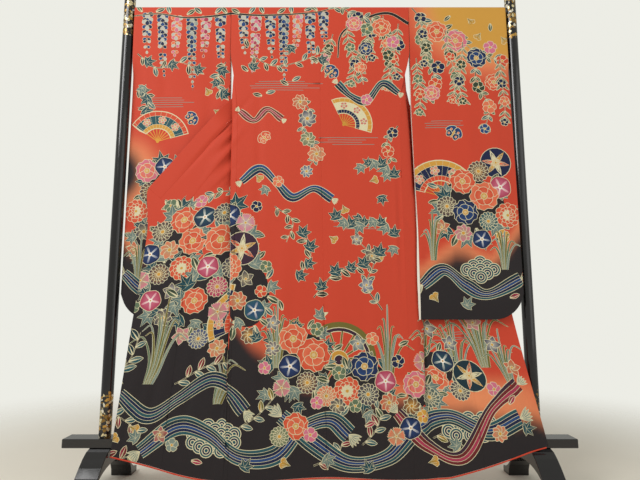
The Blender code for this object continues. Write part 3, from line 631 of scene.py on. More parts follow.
def cutTile(columns, rows, outlines, boxes):  # one tile of the flat net with the shapes cut into it
    low, high = np.array([columns[0], rows[0]]), np.array([columns[-1], rows[-1]])
    gridA, gridB = np.meshgrid(columns, rows)
    points = [np.stack([gridA.ravel(), gridB.ravel()], 1)]
    count, loops, owner = len(points[0]), [], []
    hits = np.nonzero((boxes[:, 2:] > low + 1e-5).all(1) & (boxes[:, :2] < high - 1e-5).all(1))[0]
    for number in hits:
        outline = clipToBox(outlines[number], low, high)
        if len(outline) < 3:
            continue
        outline = outline[np.linalg.norm(outline - np.roll(outline, 1, 0), axis=1) > weave["shortest"]]
        if len(outline) < 3:
            continue
        points.append(outline if turnsLeft(outline) else outline[::-1])
        loops.append(list(range(count, count + len(outline))))
        owner.append(number)
        count += len(outline)
    corners = [Vector(p) for p in np.concatenate(points)]
    found = delaunay_2d_cdt(corners, [], loops, 0, weave["merge"], True)
    places, faces = np.array([tuple(p) for p in found[0]]), np.array(found[2])
    middle, top = places[faces].mean(1), np.full(len(faces), -1)
    face = np.repeat(np.arange(len(faces)), [len(f) for f in found[5]])
    loop = np.array([k for f in found[5] for k in f], int)
    for k, outline in enumerate(points[1:]):  # the later shape lies on top
        under = face[loop == k]
        top[under[within(outline, middle[under])]] = owner[k]
    return keepShown(points[0], places, faces, top) if len(loops) else (places, faces, top)


def edgeProfile(distance, thick):
    t = np.clip(distance / (thick / 2), 0, 1)
    return np.sqrt(np.maximum(1 - (1 - t) ** 2, 0)), t


def spaced(values):  # rising values without repeats and near repeats
    values = np.unique(values)
    return values[np.concatenate([[True], np.diff(values) > weave["closest"]])]


def layCloth(lattice, shapes=()):
    # The panel's flat net with the shapes cut into it, raised onto its form. Returns places, normals, faces,
    # which shape each face shows (-1 for the ground), and cloth and flat coordinates
    a, b = lattice["a"], lattice["b"]
    low, high = np.array([a[0], b[0]]), np.array([a[-1], b[-1]])
    rim = np.array(weave["rim"]) * lattice["thick"] / 2
    columns = spaced(np.concatenate([a, a[0] + rim, a[-1] - rim]))
    rows = spaced(np.concatenate([b, b[0] + rim, b[-1] - rim]))
    columns[-1], rows[-1] = a[-1], b[-1]
    outlines, boxes = [], np.zeros((0, 4))
    if len(shapes):
        flat = toPlane(lattice, np.concatenate([s[0] for s in shapes]))
        outlines = np.split(flat, np.cumsum([len(s[0]) for s in shapes])[:-1])
        boxes = np.array([(*o.min(0), *o.max(0)) for o in outlines])
    flat, faces, top, count = [], [], [], 0
    across, down = weave["tile"]
    for left in range(0, len(columns) - 1, across):
        for start in range(0, len(rows) - 1, down):
            part = cutTile(columns[left:left + across + 1], rows[start:start + down + 1], outlines, boxes)
            flat.append(part[0])
            faces.append(part[1] + count)
            top.append(part[2])
            count += len(part[0])
    flat, faces, top = (np.concatenate(part) for part in (flat, faces, top))
    _, first, index = np.unique(np.round(flat, 6), axis=0, return_index=True, return_inverse=True)
    flat, faces = flat[first], index.reshape(-1)[faces]
    whole = (faces[:, 0] != faces[:, 1]) & (faces[:, 1] != faces[:, 2]) & (faces[:, 2] != faces[:, 0])
    faces, top = faces[whole], top[whole]
    i, f = bracket(b, flat[:, 1])
    j, g = bracket(a, flat[:, 0])
    f, g = np.clip(f, 0, 1), np.clip(g, 0, 1)
    names = ("place", "normal", "edges", "across", "down", "alongRow", "alongColumn")
    place, normal, edges, across, down, alongRow, alongColumn = (
        sample(lattice, name, i, f, j, g) for name in names)
    cloth = np.concatenate([across, down], 1)
    nearest = edges.argmin(1)
    raised, t = edgeProfile(edges.min(1), lattice["thick"])
    way = np.where((nearest < 2)[:, None], alongRow, alongColumn)
    way = way * np.where(nearest % 2 == 0, -1, 1)[:, None]
    shade = unit(normal * np.maximum(raised, 0.25)[:, None] + way * (1 - t)[:, None])
    return {
        "place": place, "normal": normal, "shade": shade, "raised": raised, "faces": faces, "top": top,
        "cloth": cloth, "flat": flat, "thick": lattice["thick"],
    }


def makePiece(name, laid, side, material):
    # A mesh from laid cloth, on the outer side (1) or the lining's (-1) of its middle
    places = laid["place"] + laid["normal"] * (laid["raised"] * laid["thick"] / 2 * side)[:, None]
    faces = laid["faces"]
    corners = places[faces]
    facing = np.einsum("ij,ij->i", np.cross(corners[:, 1] - corners[:, 0], corners[:, 2] - corners[:, 0]),
                       laid["normal"][faces[:, 0]]) * side
    vote = 1 if np.sign(facing).sum() > 0 else -1
    faces = faces if vote > 0 else faces[:, ::-1]
    mesh = bpy.data.meshes.new(name)
    mesh.vertices.add(len(places))
    mesh.vertices.foreach_set("co", places.astype(np.float32).ravel())
    mesh.loops.add(len(faces) * 3)
    mesh.loops.foreach_set("vertex_index", faces.astype(np.int32).ravel())
    mesh.polygons.add(len(faces))
    mesh.polygons.foreach_set("loop_start", np.arange(0, len(faces) * 3, 3, dtype=np.int32))
    mesh.update(calc_edges=True)
    shade = laid["shade"].copy()
    if side < 0:
        shade -= 2 * laid["normal"] * np.einsum("ij,ij->i", shade, laid["normal"])[:, None]
    mesh.shade_smooth()
    mesh.normals_split_custom_set_from_vertices([tuple(n) for n in shade])
    for title, values in (("cloth", laid["cloth"][faces]), ("OFBake", bakePlaces(laid, faces))):
        layer = mesh.uv_layers.new(name=title)
        layer.uv.foreach_set("vector", values.astype(np.float32).ravel())
    mesh.materials.append(material)
    return addObject(name, mesh), faces


def bakePlaces(laid, faces):  # the upper and lower half of the flat net side by side, to fill a square
    flat = laid["flat"]
    low, size = flat.min(0), np.ptp(flat, axis=0)
    share = (flat - low) / size
    corner = share[faces]
    upper = corner[:, :, 1].mean(1, keepdims=True) > 0.5
    corner[..., 0] = 0.01 + corner[..., 0] * 0.48 + np.where(upper, 0.5, 0.0)
    corner[..., 1] = np.where(upper, corner[..., 1] * 2 - 1, corner[..., 1] * 2) * 0.96 + 0.02
    return corner


dyeCodes = {  # the dyer's colours
    "red": "cb452e", "black": "282325", "peach": "e88e60", "gold": "d09a42", "cream": "dad1ab",
    "white": "efe9dc", "navy": "1b2446", "blue": "284678", "teal": "28535b", "deepTeal": "19323c",
    "sage": "61745a", "moss": "364231", "olive": "70672f", "pink": "d0728a", "rose": "a83953",
    "orange": "cf4d31", "coral": "de7452", "plum": "3b2536", "ash": "828f84", "wine": "6e2628",
    "sand": "a89974", "pearl": "b9b5ab",
}
dye = {name: ink(code) for name, code in dyeCodes.items()}
canvases = {
    name: [] for name in ("body", "sleeveLeft", "sleeveRight", "liningBody", "liningSleeve", "liningEdge")
}
brush = {  # the canvas in hand, and line widths in metres
    "canvas": "body", "seed": random.Random(7), "outline": "cream", "line": 0.0017, "petalLine": 0.0011,
    "threadLine": 0.0009, "spotLine": 0.0012, "ballLine": 0.0022, "rib": 0.0004, "leafRib": 0.0005,
    "mist": 0.0009,
}
petals = {  # half widths along a petal of length 1, from its base to its tip
    "round": ((0, 0.1), (0.22, 0.27), (0.5, 0.43), (0.76, 0.45), (0.93, 0.29), (0.99, 0.1)),
    "notched": ((0, 0.1), (0.25, 0.28), (0.55, 0.44), (0.82, 0.44), (0.99, 0.24), (0.9, 0.03)),
    "pointed": ((0, 0.1), (0.25, 0.25), (0.5, 0.32), (0.75, 0.24), (0.92, 0.1), (1.0, 0.0)),
    "narrow": ((0, 0.05), (0.4, 0.12), (0.75, 0.14), (0.93, 0.09), (1.0, 0.0)),
    "star": ((0, 0.32), (0.3, 0.4), (0.6, 0.33), (0.85, 0.15), (1.0, 0.0)),
    "fringed": ((0, 0.05), (0.55, 0.3), (0.84, 0.46), (1.0, 0.4), (0.86, 0.3), (1.03, 0.22), (0.88, 0.12),
                (1.05, 0.05), (0.92, 0.0)),
    "bud": ((0, 0.12), (0.4, 0.42), (0.8, 0.38), (1.0, 0.1)),
    "drop": ((0, 0.02), (0.3, 0.16), (0.65, 0.3), (0.88, 0.25), (1.0, 0.08)),
}
smallPetal = 0.026  # below this length a petal needs fewer points
blooms = {  # petal kind, how many, rings, width, size of the heart
    "small": ("round", 5, 1, 1.25, 0.22), "bell": ("star", 5, 1, 0.95, 0.16),
    "pink": ("fringed", 5, 1, 1.1, 0.15), "clematis": ("pointed", 8, 1, 1.15, 0.22),
    "aster": ("narrow", 15, 2, 1.5, 0.2), "dahlia": ("drop", 11, 3, 1.0, 0.14),
}


def draw(points, inner, outer=None, centre=None, reach=None, gold=0.0):
    # Adds one flat shape. inner None shows the ground through whatever lies below
    points = np.asarray(points, float)
    outer = inner if outer is None else outer
    centre = points.mean(0) if centre is None else np.asarray(centre, float)
    reach = float(np.linalg.norm(points - centre, axis=1).max()) if reach is None else reach
    canvases[brush["canvas"]].append((points, inner, outer, centre, reach, gold))


def grow(points, amount):  # the outline moved out (or in) by this much
    mean = unit(np.roll(points, -1, 0) - points) + unit(points - np.roll(points, 1, 0))
    normal = unit(np.stack([mean[:, 1], -mean[:, 0]], 1))
    return points + normal * amount * (1 if turnsLeft(points) else -1)


def lined(points, inner, outer=None, width=brush["line"], **more):  # a shape inside its pale outline
    draw(grow(points, width / 2), dye[brush["outline"]])
    draw(grow(points, -width / 2), dye[inner], None if outer is None else dye[outer], **more)


def turned(points, x, y, size=1.0, turn=0.0, squash=1.0):
    c, s = math.cos(turn), math.sin(turn)
    points = np.asarray(points, float) * (size, size * squash)
    return np.stack([x + points[:, 0] * c - points[:, 1] * s, y + points[:, 0] * s + points[:, 1] * c], 1)


def ray(x, y, reach, angle):
    return x + reach * math.cos(angle), y + reach * math.sin(angle)


def petalOutline(kind, width=1.0, size=1.0):
    half = petals[kind]
    if size < smallPetal and len(half) > 4:
        half = half[:1] + half[2::2] + (half[-1:] if len(half) % 2 == 0 else ())
    up = [(t, w * width) for t, w in half]
    down = [(t, -w * width) for t, w in half[::-1] if w > 0]
    return np.array(up + down)


def ring(count, radius=1.0):
    angles = np.arange(count) * 2 * math.pi / count
    return np.stack([np.cos(angles), np.sin(angles)], 1) * radius


def curve(points, steps=8):  # a smooth path through given points
    rows = np.array(points, float)
    slope = np.gradient(rows, axis=0)
    out = []
    for i in range(len(rows) - 1):
        out += [between(rows[i], rows[i + 1], slope[i], slope[i + 1], k / steps) for k in range(steps)]
    return np.array(out + [rows[-1]])


def sideways(path, offset):
    way = unit(np.gradient(path, axis=0))
    return path + np.stack([-way[:, 1], way[:, 0]], 1) * np.asarray(offset).reshape(-1, 1)


def strip(path, half, colour, gold=0.0):  # half: its half width, or its two edges' offsets from the path
    low, high = half if isinstance(half, tuple) else (-half, half)
    low, high = sideways(path, low), sideways(path, high)
    for start in range(0, len(path) - 1, 5):  # in short lengths
        draw(np.concatenate([low[start:start + 6], high[start:start + 6][::-1]]), dye[colour], gold=gold)


def bloom(x, y, size, kind, count, inner, outer, layers=1, turn=0.0, width=1.0, heart="gold", heartSize=0.2):
    for layer in range(layers):
        reach = size * 0.66**layer
        for k in range(count):
            angle = turn + (k + 0.5 * layer) * 2 * math.pi / count
            outline = turned(petalOutline(kind, width, reach), x, y, reach, angle)
            lined(outline, inner, outer, centre=(x, y), reach=reach)
    lined(turned(ring(7), x, y, size * heartSize), heart)


def camellia(x, y, size, inner, outer, turn):
    # Broad overlapping petals round a thick tuft of stamens
    for k in range(6):
        outline = turned(petalOutline("notched", 1.25), x, y, size, turn + k * math.pi / 3)
        lined(outline, inner, outer, centre=(x, y), reach=size)
    for k in range(5):
        outline = turned(petalOutline("round", 1.15), x, y, size * 0.66, turn + 0.3 + k * 2 * math.pi / 5)
        lined(outline, outer, inner, centre=(x, y), reach=size * 0.66)
    lined(turned(ring(10), x, y, size * 0.24), "cream", "gold")
    for k in range(8):
        draw(turned(ring(5), *ray(x, y, size * 0.15, k * math.pi / 4), size * 0.045), dye["gold"], gold=0.6)


def morningGlory(x, y, size, inner, outer, turn):
    # A round five-lobed trumpet with pale rays
    angles = np.arange(30) * 2 * math.pi / 30
    lobes = 1 - 0.07 * np.abs(np.cos(angles * 2.5)) ** 3
    outline = turned(np.stack([np.cos(angles) * lobes, np.sin(angles) * lobes], 1), x, y, size, turn)
    lined(outline, inner, outer, centre=(x, y), reach=size)
    for k in range(5):
        outline = turned(petalOutline("narrow", 0.8), x, y, size * 0.88, turn + 0.63 + k * 2 * math.pi / 5)
        draw(outline, dye["white"], dye[inner], centre=(x, y), reach=size * 0.9)
    draw(turned(ring(9), x, y, size * 0.2), dye["white"])
    draw(turned(ring(7), x, y, size * 0.08), dye["gold"], gold=0.5)


def leaf(x, y, length, turn, width, light, dark):  # its halves in two tones, with a rib
    outline = petalOutline("pointed", width)
    half = len(outline) // 2 + 1
    draw(grow(turned(outline, x, y, length, turn), brush["line"] / 2), dye[brush["outline"]])
    inner = grow(turned(outline, x, y, length, turn), -brush["line"] / 2)
    draw(inner[:half], dye[light], dye[dark], centre=(x, y), reach=length)
    draw(inner[half - 1:], dye[dark])
    strip(turned([(0, 0), (0.85, 0)], x, y, length, turn), brush["leafRib"], brush["outline"])


def ivy(x, y, size, turn, light, dark):
    # A five-lobed leaf with its ribs
    points = []
    for angle, reach in ((-2.5, 0.35), (-1.75, 0.62), (-1.35, 0.42), (-0.85, 0.86), (-0.42, 0.5), (0, 1.0),
                         (0.42, 0.5), (0.85, 0.86), (1.35, 0.42), (1.75, 0.62), (2.5, 0.35)):
        points.append(ray(0, 0, reach, angle))
    lined(turned(points, x, y, size, turn), light, dark, centre=(x, y), reach=size)
    for angle, reach in ((-1.75, 0.45), (-0.85, 0.65), (0, 0.8), (0.85, 0.65), (1.75, 0.45)):
        tip = turned([ray(0, 0, reach, angle)], x, y, size, turn)[0]
        strip(np.array([(x, y), tip]), brush["rib"], brush["outline"])


def ginkgo(x, y, size, turn):
    points = [(0, 0), (0.35, 0.16), (0.72, 0.5), (0.95, 0.34), (0.98, 0.1), (0.86, 0.0), (0.98, -0.1),
              (0.95, -0.34), (0.72, -0.5), (0.35, -0.16)]
    lined(turned(points, x, y, size, turn), "olive", "gold", centre=(x, y), reach=size)
    for angle in (-0.4, -0.2, 0.2, 0.4):
        ends = turned([ray(0, 0, share, angle) for share in (0.3, 0.8)], x, y, size, turn)
        strip(ends, brush["rib"], brush["outline"])


def greens(kind, x, y, size, turn):  # a leaf by its kind, or by its two colours
    if kind == "ivy":
        ivy(x, y, size, turn, "ash", "teal")
    elif kind == "ivyDark":
        ivy(x, y, size, turn, "teal", "deepTeal")
    elif kind == "ginkgo":
        ginkgo(x, y, size, turn)
    elif kind == "slim":
        leaf(x, y, size * 1.5, turn, 0.42, "sage", "moss")
    else:
        leaf(x, y, size, turn, 0.75, *kind.split())


def flower(kind, x, y, size, colours, turn, heart="gold"):
    inner, outer = colours[0], colours[-1]
    if kind == "camellia":
        camellia(x, y, size, inner, outer, turn)
    elif kind == "glory":
        morningGlory(x, y, size, inner, outer, turn)
    else:
        shape, count, layers, width, heartSize = blooms[kind]
        bloom(x, y, size, shape, count, inner, outer, layers, turn, width, heart, heartSize)


def read(text):  # rows of words and numbers parted by commas: a whole number is in millimetres
    if not isinstance(text, str):
        return text
    rows = []
    for item in text.split(","):
        row = []
        for word in item.split():
            whole = word.lstrip("-").isdigit()
            row.append(int(word) / 1000 if whole else float(word) if "." in word else word)
        rows.append(row)
    return rows


def branch(points, thick):
    path = curve(read(points), 6)
    taper = np.linspace(1.0, 0.35, len(path)) * thick / 2
    strip(path, taper + brush["line"] / 2, brush["outline"])
    strip(path, taper, "black")


def spray(points, leafSize, kinds, count):
    # A branch with leaves set by turns along it
    branch(points, 0.003)
    path, kinds, rng = curve(read(points)), kinds.split(", "), brush["seed"]
    for k in range(count):
        at = int((k + 0.7) / count * (len(path) - 2))
        way = path[at + 1] - path[at]
        angle = math.atan2(way[1], way[0]) + (0.9 if k % 2 else -0.9) + rng.uniform(-0.2, 0.2)
        greens(kinds[k % len(kinds)], *path[at], leafSize * rng.uniform(0.85, 1.15), angle)


def wisteria(x, y, length, lean, colours):
    # One hanging raceme: pairs of small petals, smaller towards its tip
    rng = brush["seed"]
    path = curve([(x, y), (x + lean * length * 0.25, y - length * 0.5), (x + lean * length, y - length)])
    strip(path, 0.0008, "sage")
    count = max(5, int(length / 0.0145))
    for k in range(count):
        share = (k + 0.4) / count
        at = path[min(int(share * (len(path) - 1)), len(path) - 1)]
        small = 0.021 * (1.0 - 0.55 * share)
        for way in (-1, 1, 0) if share < 0.5 else (-1, 1) if share < 0.85 else (0,):
            colour = colours[(k + (way > 0) + 2 * (way == 0)) % len(colours)]
            angle = -math.pi / 2 + way * rng.uniform(0.75, 1.15)
            outline = turned(petalOutline("bud", 1.0), at[0] + way * 0.002, at[1] + 0.003, small, angle)
            inner = "pearl" if colour == "ash" else colour
            lined(outline, inner, colour, brush["petalLine"], centre=at, reach=small)


def wisterias(text):  # x, y, length, lean as a share of it, three colours
    for x, y, length, lean, *colours in read(text):
        wisteria(x, y, length, lean, colours)


def grass(x, y, height, spread, blades):
    # A clump of long arching blades
    rng, colours = brush["seed"], ("sage", "ash", "olive")
    for k in range(blades):
        share = (k + 0.5) / blades * 2 - 1
        tall = height * (1 - 0.35 * abs(share)) * rng.uniform(0.8, 1.1)
        out = share * spread * rng.uniform(0.7, 1.15)
        foot = x + share * spread * 0.12
        path = curve([(foot, y), (foot + out * 0.18, y + tall * 0.55), (foot + out * 0.55, y + tall * 0.93),
                      (foot + out, y + tall * (1.0 - 0.22 * abs(share)))], 5)
        taper = 0.0034 * np.sqrt(np.linspace(1.0, 0.02, len(path)))
        strip(path, taper + 0.0007, brush["outline"])
        strip(path, taper, colours[k % len(colours)])


def noshi(points, width, bands):
    # A long strip of dried paper ribbon, striped lengthwise and frayed at both ends
    path, bands = curve(read(points), 10), bands.split()
    swell = 0.72 + 0.28 * np.sin(np.linspace(0.4, math.pi * 2.6, len(path))) ** 2
    total = width * swell
    strip(path, total / 2 + 0.0012, brush["outline"])
    for k, band in enumerate(bands):
        low = -total / 2 + total * k / len(bands)
        strip(path, (low + 0.0006, low + total / len(bands) - 0.0006), band)
    for tip, way in ((path[0], path[0] - path[2]), (path[-1], path[-1] - path[-3])):
        angle = math.atan2(way[1], way[0])
        for k in range(5):
            leaf(*tip, width * 0.7, angle + (k - 2) * 0.28, 0.35, "cream", "ash")


def mist(x0, x1, y, lines):  # thin level lines of drifting mist
    rng = brush["seed"]
    for k in range(lines):
        left, right = x0 + rng.uniform(0, 0.3) * (x1 - x0), x1 - rng.uniform(0, 0.3) * (x1 - x0)
        at = y + (k - lines / 2) * 0.008
        path = np.array([(left, at), (left + (right - left) * 0.33, at + 0.001), (right, at)])
        strip(path, brush["mist"], "ash")


def spoke(x, y, size, angle, low, high):  # a straight stretch of a radius
    way = np.array([math.cos(angle), math.sin(angle)]) * size
    return np.array([np.array([x, y]) + way * low, np.array([x, y]) + way * high])


def fan(x, y, size, turn, bands, motif):
    # An open folding fan: ribs, then a leaf of paper in bands with a round motif
    spread = 1.15

    def sector(low, high, half=spread):
        angles = np.linspace(-half, half, 14)
        arc = np.stack([np.cos(angles), np.sin(angles)], 1)
        return turned(np.concatenate([arc * high, arc[::-1] * low]), x, y, size, turn)

    for k in range(9):
        path = np.array([(x, y), ray(x, y, size * 0.5, turn + (k - 4) / 4 * (spread - 0.05))])
        strip(path, 0.0012, "gold", gold=0.5)
    draw(grow(sector(0.42, 1.0), 0.001), dye["cream"])
    for (low, high), band in zip(((0.44, 0.56), (0.57, 0.84), (0.85, 0.98)), bands.split()):
        draw(sector(low, high, spread - 0.02), dye[band])
    for k in range(12):
        angle = turn + (k - 5.5) / 5.5 * (spread - 0.1)
        strip(spoke(x, y, size, angle, 0.44, 0.98), brush["rib"], "cream")
    for k in (-1, 0, 1):
        place = ray(x, y, size * 0.71, turn + k * spread * 0.6)
        bloom(*place, size * 0.13, "round", 5, "pearl", motif, turn=k, heartSize=0.25)
    draw(turned(ring(8), x, y, size * 0.05), dye["gold"], gold=0.6)


def temari(x, y, size, ground, threads, turn):
    # A thread ball: crossing lens shapes under a star
    threads = threads.split()
    lined(turned(ring(22), x, y, size), ground, width=brush["ballLine"])
    for k, thread in enumerate(threads * 2):
        angle = turn + k * math.pi / len(threads)
        for reach, colour in ((0.92, thread), (0.74, ground), (0.62, thread)):
            half = [(-reach, 0), (-reach * 0.6, 0.13 * reach), (0, 0.2 * reach), (reach * 0.6, 0.13 * reach)]
            lens = np.array(half + [(-across, -up) for across, up in half])
            lined(turned(lens, x, y, size, angle), colour, width=brush["threadLine"])
    bloom(x, y, size * 0.3, "pointed", 8, "gold", "cream", turn=turn, heartSize=0.3)


def wheel(x, y, size, turn):
    # A court carriage's wheel, in part behind the flowers
    for radius, fill in ((1.0, "olive"), (0.86, "cream"), (0.84, "plum"), (0.76, "cream"), (0.74, None)):
        draw(turned(ring(36), x, y, size * radius), None if fill is None else dye[fill])
    for k in range(14):
        path = spoke(x, y, size, turn + k * 2 * math.pi / 14, 0.2, 0.76)
        strip(path, 0.0036, "cream")
        strip(path, 0.0026, "olive")
    for radius, fill in ((0.26, "cream"), (0.24, "gold"), (0.14, "cream"), (0.12, "plum")):
        draw(turned(ring(18), x, y, size * radius), dye[fill], gold=0.5 if fill == "gold" else 0.0)


def bed(x, y, wide, tall, count, size, kinds):  # leaves all round a bouquet, over a dark ground
    rng, kinds = brush["seed"], kinds.split(", ")
    draw(turned(ring(24), x, y, wide * 0.8, 0.0, tall / wide), dye["black"])
    for k in range(count):
        angle = 2 * math.pi * k / count + rng.uniform(-0.2, 0.2)
        share = rng.uniform(0.62, 0.95)
        greens(kinds[k % len(kinds)], x + math.cos(angle) * wide * share, y + math.sin(angle) * tall * share,
               size * rng.uniform(0.8, 1.2), angle + rng.uniform(-0.5, 0.5))


def bouquet(text):  # flowers from the back to the front: kind, x, y, size, colours
    for number, (kind, x, y, size, *colours) in enumerate(read(text)):
        flower(kind, x, y, size, colours, number * 1.3, "gold" if colours[-1] != "gold" else "orange")


def garland(points, flowers, leafSize, gap=0.03, kinds="sage moss, ash teal", thick=0.0032):
    # A trailing stem with paired leaves, and flowers where they are named by share along it
    points, kinds, rng = read(points), kinds.split(", "), brush["seed"]
    branch(points, thick)
    path = curve(points, 10)
    run = runAlong(path)
    for number, at in enumerate(np.arange(gap, run[-1], gap)):
        index = int(np.searchsorted(run, at)) - 1
        way = path[index + 1] - path[index]
        angle = math.atan2(way[1], way[0])
        for side in (0.75, -0.75):
            greens(kinds[number % len(kinds)], *path[index], leafSize * rng.uniform(0.8, 1.15), angle + side)
    for share, kind, size, *colours in read(flowers):
        index = min(int(np.searchsorted(run, share * run[-1])), len(path) - 1)
        flower(kind, *path[index], size, colours, share * 9)


def strands(text):  # hanging stems of slim leaves and small flowers: x, y, length, lean, two colours
    for x, y, length, lean, first, second in read(text):
        points = [(x, y), (x + lean * 0.4, y - length * 0.35), (x + lean, y - length * 0.7),
                  (x + lean * 0.5, y - length)]
        flowers = f"0.35 small 17 {first}, 0.66 small 18 {second}, 1.0 small 14 {first}"
        garland(points, flowers, 0.021, 0.024, "slim", 0.0022)


def waveScales(x, y, wide, tall):
    # A cloud of overlapping wave scales
    radius, rise = 0.022, 0.55
    rows, columns = int(tall / (radius * rise)), int(wide / radius) + 1
    for row in range(rows, -rows - 1, -1):
        for column in range(-columns, columns + 1):
            cx, cy = (column + (row % 2) / 2) * radius * 2, row * radius * rise
            if (cx / wide) ** 2 + (cy / tall) ** 2 > 1:
                continue
            for k, colour in enumerate(("cream", "teal", "cream", "navy", "cream", "teal")):
                share = 1 - k * 0.165 + (k % 2) * 0.045
                draw(turned(ring(16), x + cx, y + cy, radius * share), dye[colour])


def scatter(kinds, text, size):
    kinds = kinds.split(", ")
    for number, (x, y, turn) in enumerate(read(text)):
        greens(kinds[number % len(kinds)], x, y, size, turn)


def butterfly(x, y, size, turn, inner="navy", outer="blue"):
    for way, reach, width in ((0.75, 1.0, 1.3), (-0.75, 1.0, 1.3), (1.75, 0.7, 1.2), (-1.75, 0.7, 1.2)):
        wing = turned(petalOutline("round", width), x, y, size * reach, turn + way)
        lined(wing, inner, outer, centre=(x, y), reach=size)
        spot = ray(x, y, size * reach * 0.62, turn + way)
        lined(turned(ring(7), *spot, size * 0.13), "coral", width=brush["spotLine"])
    body = turned(petalOutline("narrow", 0.8), *ray(x, y, -size * 0.4, turn), size * 0.9, turn)
    lined(body, "gold", width=brush["spotLine"])


def bodyDesign():
    brush["canvas"] = "body"
    # wisteria over the left shoulder
    wisterias("""
        -270 1592 150 0.06 navy blue pearl, -225 1585 215 -0.05 pink pearl rose,
        -175 1590 165 0.05 navy blue pearl, -128 1588 250 0.02 blue navy ash,
        -78 1592 140 -0.08 coral pearl pink, -36 1598 195 0.05 navy blue pearl,
        12 1602 120 0.04 blue navy pearl
    """)
    branch("-320 1600, -220 1592, -100 1596, 0 1606, 60 1628", 0.007)
    scatter("sage moss, ash teal, sage deepTeal", """
        -285 1600 2.6, -250 1600 0.9, -200 1600 2.0, -150 1600 0.6, -100 1600 1.7, -55 1610 0.4,
        -10 1610 2.4, 30 1620 0.3, 50 1622 -0.6
    """, 0.034)
    # camellias down the right shoulder
    branch("312 1560, 240 1600, 150 1575, 75 1520, 62 1430", 0.011)
    strands("""
        92 1555 220 30 sage navy, 222 1590 270 20 coral moss, 190 1580 150 -20 navy sage,
        276 1560 200 -20 navy orange, 45 1520 140 -30 moss pink
    """)
    garland("60 1640, 120 1590, 190 1575, 240 1510, 285 1470",
            "0.3 small 20 navy, 0.95 small 21 navy", 0.03)
    garland("150 1585, 165 1500, 140 1420, 150 1330", "0.45 small 19 sage, 0.72 small 21 orange", 0.026)
    bouquet("""
        camellia 215 1545 34 orange coral, small 165 1540 22 sage, camellia 120 1560 28 coral pink,
        small 255 1490 23 pink, small 238 1440 20 moss, camellia 160 1465 26 blue navy,
        small 136 1395 18 coral
    """)
    # a clematis vine down the middle of the back
    garland("-85 1280, -35 1235, -60 1160, -10 1095, -45 1020", """
        0.05 clematis 28 sand orange, 0.3 clematis 32 pearl navy, 0.55 clematis 27 sand sage,
        0.78 clematis 30 sand coral, 1.0 clematis 22 pearl blue
    """, 0.026, 0.034)
    mist(-0.245, 0.02, 1.33, 5)
    mist(-0.01, 0.2, 1.13, 4)
    mist(0.04, 0.235, 0.84, 4)
    fan(0.08, 1.185, 0.098, 0.85, "navy cream gold", "orange")
    butterfly(0.035, 1.375, 0.03, 0.7)
    butterfly(-0.185, 1.135, 0.026, 2.3, "coral", "orange")
    scatter("ginkgo, ivy, ginkgo, ivyDark", """
        190 1060 -1.0, 225 1010 -2.0, 165 985 0.3, 205 930 -1.4, -215 1010 -0.8, -180 960 -2.2, 75 905 -1.2,
        130 860 -2.6, 30 800 -0.6, 240 760 -1.8, 180 740 -0.4
    """, 0.03)
    # grasses and bellflowers by the right of the back
    garland("200 560, 150 640, 175 720, 120 790",
            "0.35 bell 26 pearl blue, 0.7 bell 28 sand navy, 1.0 bell 22 pearl plum", 0.03, 0.036,
            "ash teal, teal deepTeal")
    scatter("moss black, ivyDark, moss black, ash teal", """
        -250 1380 2.4, -235 1395 0.7, -110 1330 2.6, -95 1345 0.5, -10 1410 2.2, 5 1420 0.6, -200 1290 2.9,
        -185 1300 0.2, -262 1500 -1.2, -100 1470 -1.9
    """, 0.032)
    spray("250 800, 185 850, 110 835, 35 875", 0.036, "ivyDark, ivy", 9)
    spray("-20 600, 50 680, 130 700, 215 760", 0.034, "moss black, ivyDark", 10)
    spray("-75 660, -30 740, -70 830", 0.032, "ivyDark, moss black", 7)
    spray("-150 900, -90 850, -110 780", 0.03, "moss black, sage moss", 7)
    spray("-240 1440, -160 1400, -60 1420, 40 1470", 0.03, "moss black, ash teal", 11)
    spray("255 1000, 190 1050, 120 1030", 0.032, "ivyDark, ivy", 6)
    # streamers over the red
    noshi("-262 985, -200 1030, -140 975, -90 930, -20 960, 40 925", 0.03, "navy teal blue")
    noshi("270 1300, 215 1335, 160 1270, 105 1290, 60 1335", 0.028, "teal navy deepTeal")
    noshi("-275 1235, -225 1200, -180 1240, -130 1205", 0.024, "wine rose wine")
    bouquet("small -140 985 19 coral, small 160 1275 20 pink")
    garland("265 1180, 225 1120, 240 1060", "0.2 small 19 navy, 0.75 small 21 orange", 0.022, 0.026)
    # the left front
    garland("-345 1010, -400 960, -480 950, -560 900, -640 905",
            "0.05 small 21 orange, 0.25 small 23 navy, 0.62 small 21 pink, 0.95 small 22 sage", 0.028)
    bed(-0.56, 0.8, 0.085, 0.11, 18, 0.04, "sage moss, ivy, ivyDark")
    bed(-0.59, 0.64, 0.08, 0.11, 16, 0.04, "ivyDark, ash teal, ivy")
    bouquet("""
        camellia -565 855 44 coral orange, glory -500 865 36 teal navy, aster -625 815 34 sand plum,
        camellia -520 785 44 orange coral, clematis -590 755 32 sand coral, glory -650 740 34 blue navy,
        dahlia -540 695 40 coral orange, aster -610 675 34 gold navy, pink -665 655 28 sand pink,
        bell -560 620 28 pearl plum, glory -620 590 34 pink rose, small -670 570 20 sage,
        clematis -570 535 30 sand navy, small -505 640 20 coral
    """)
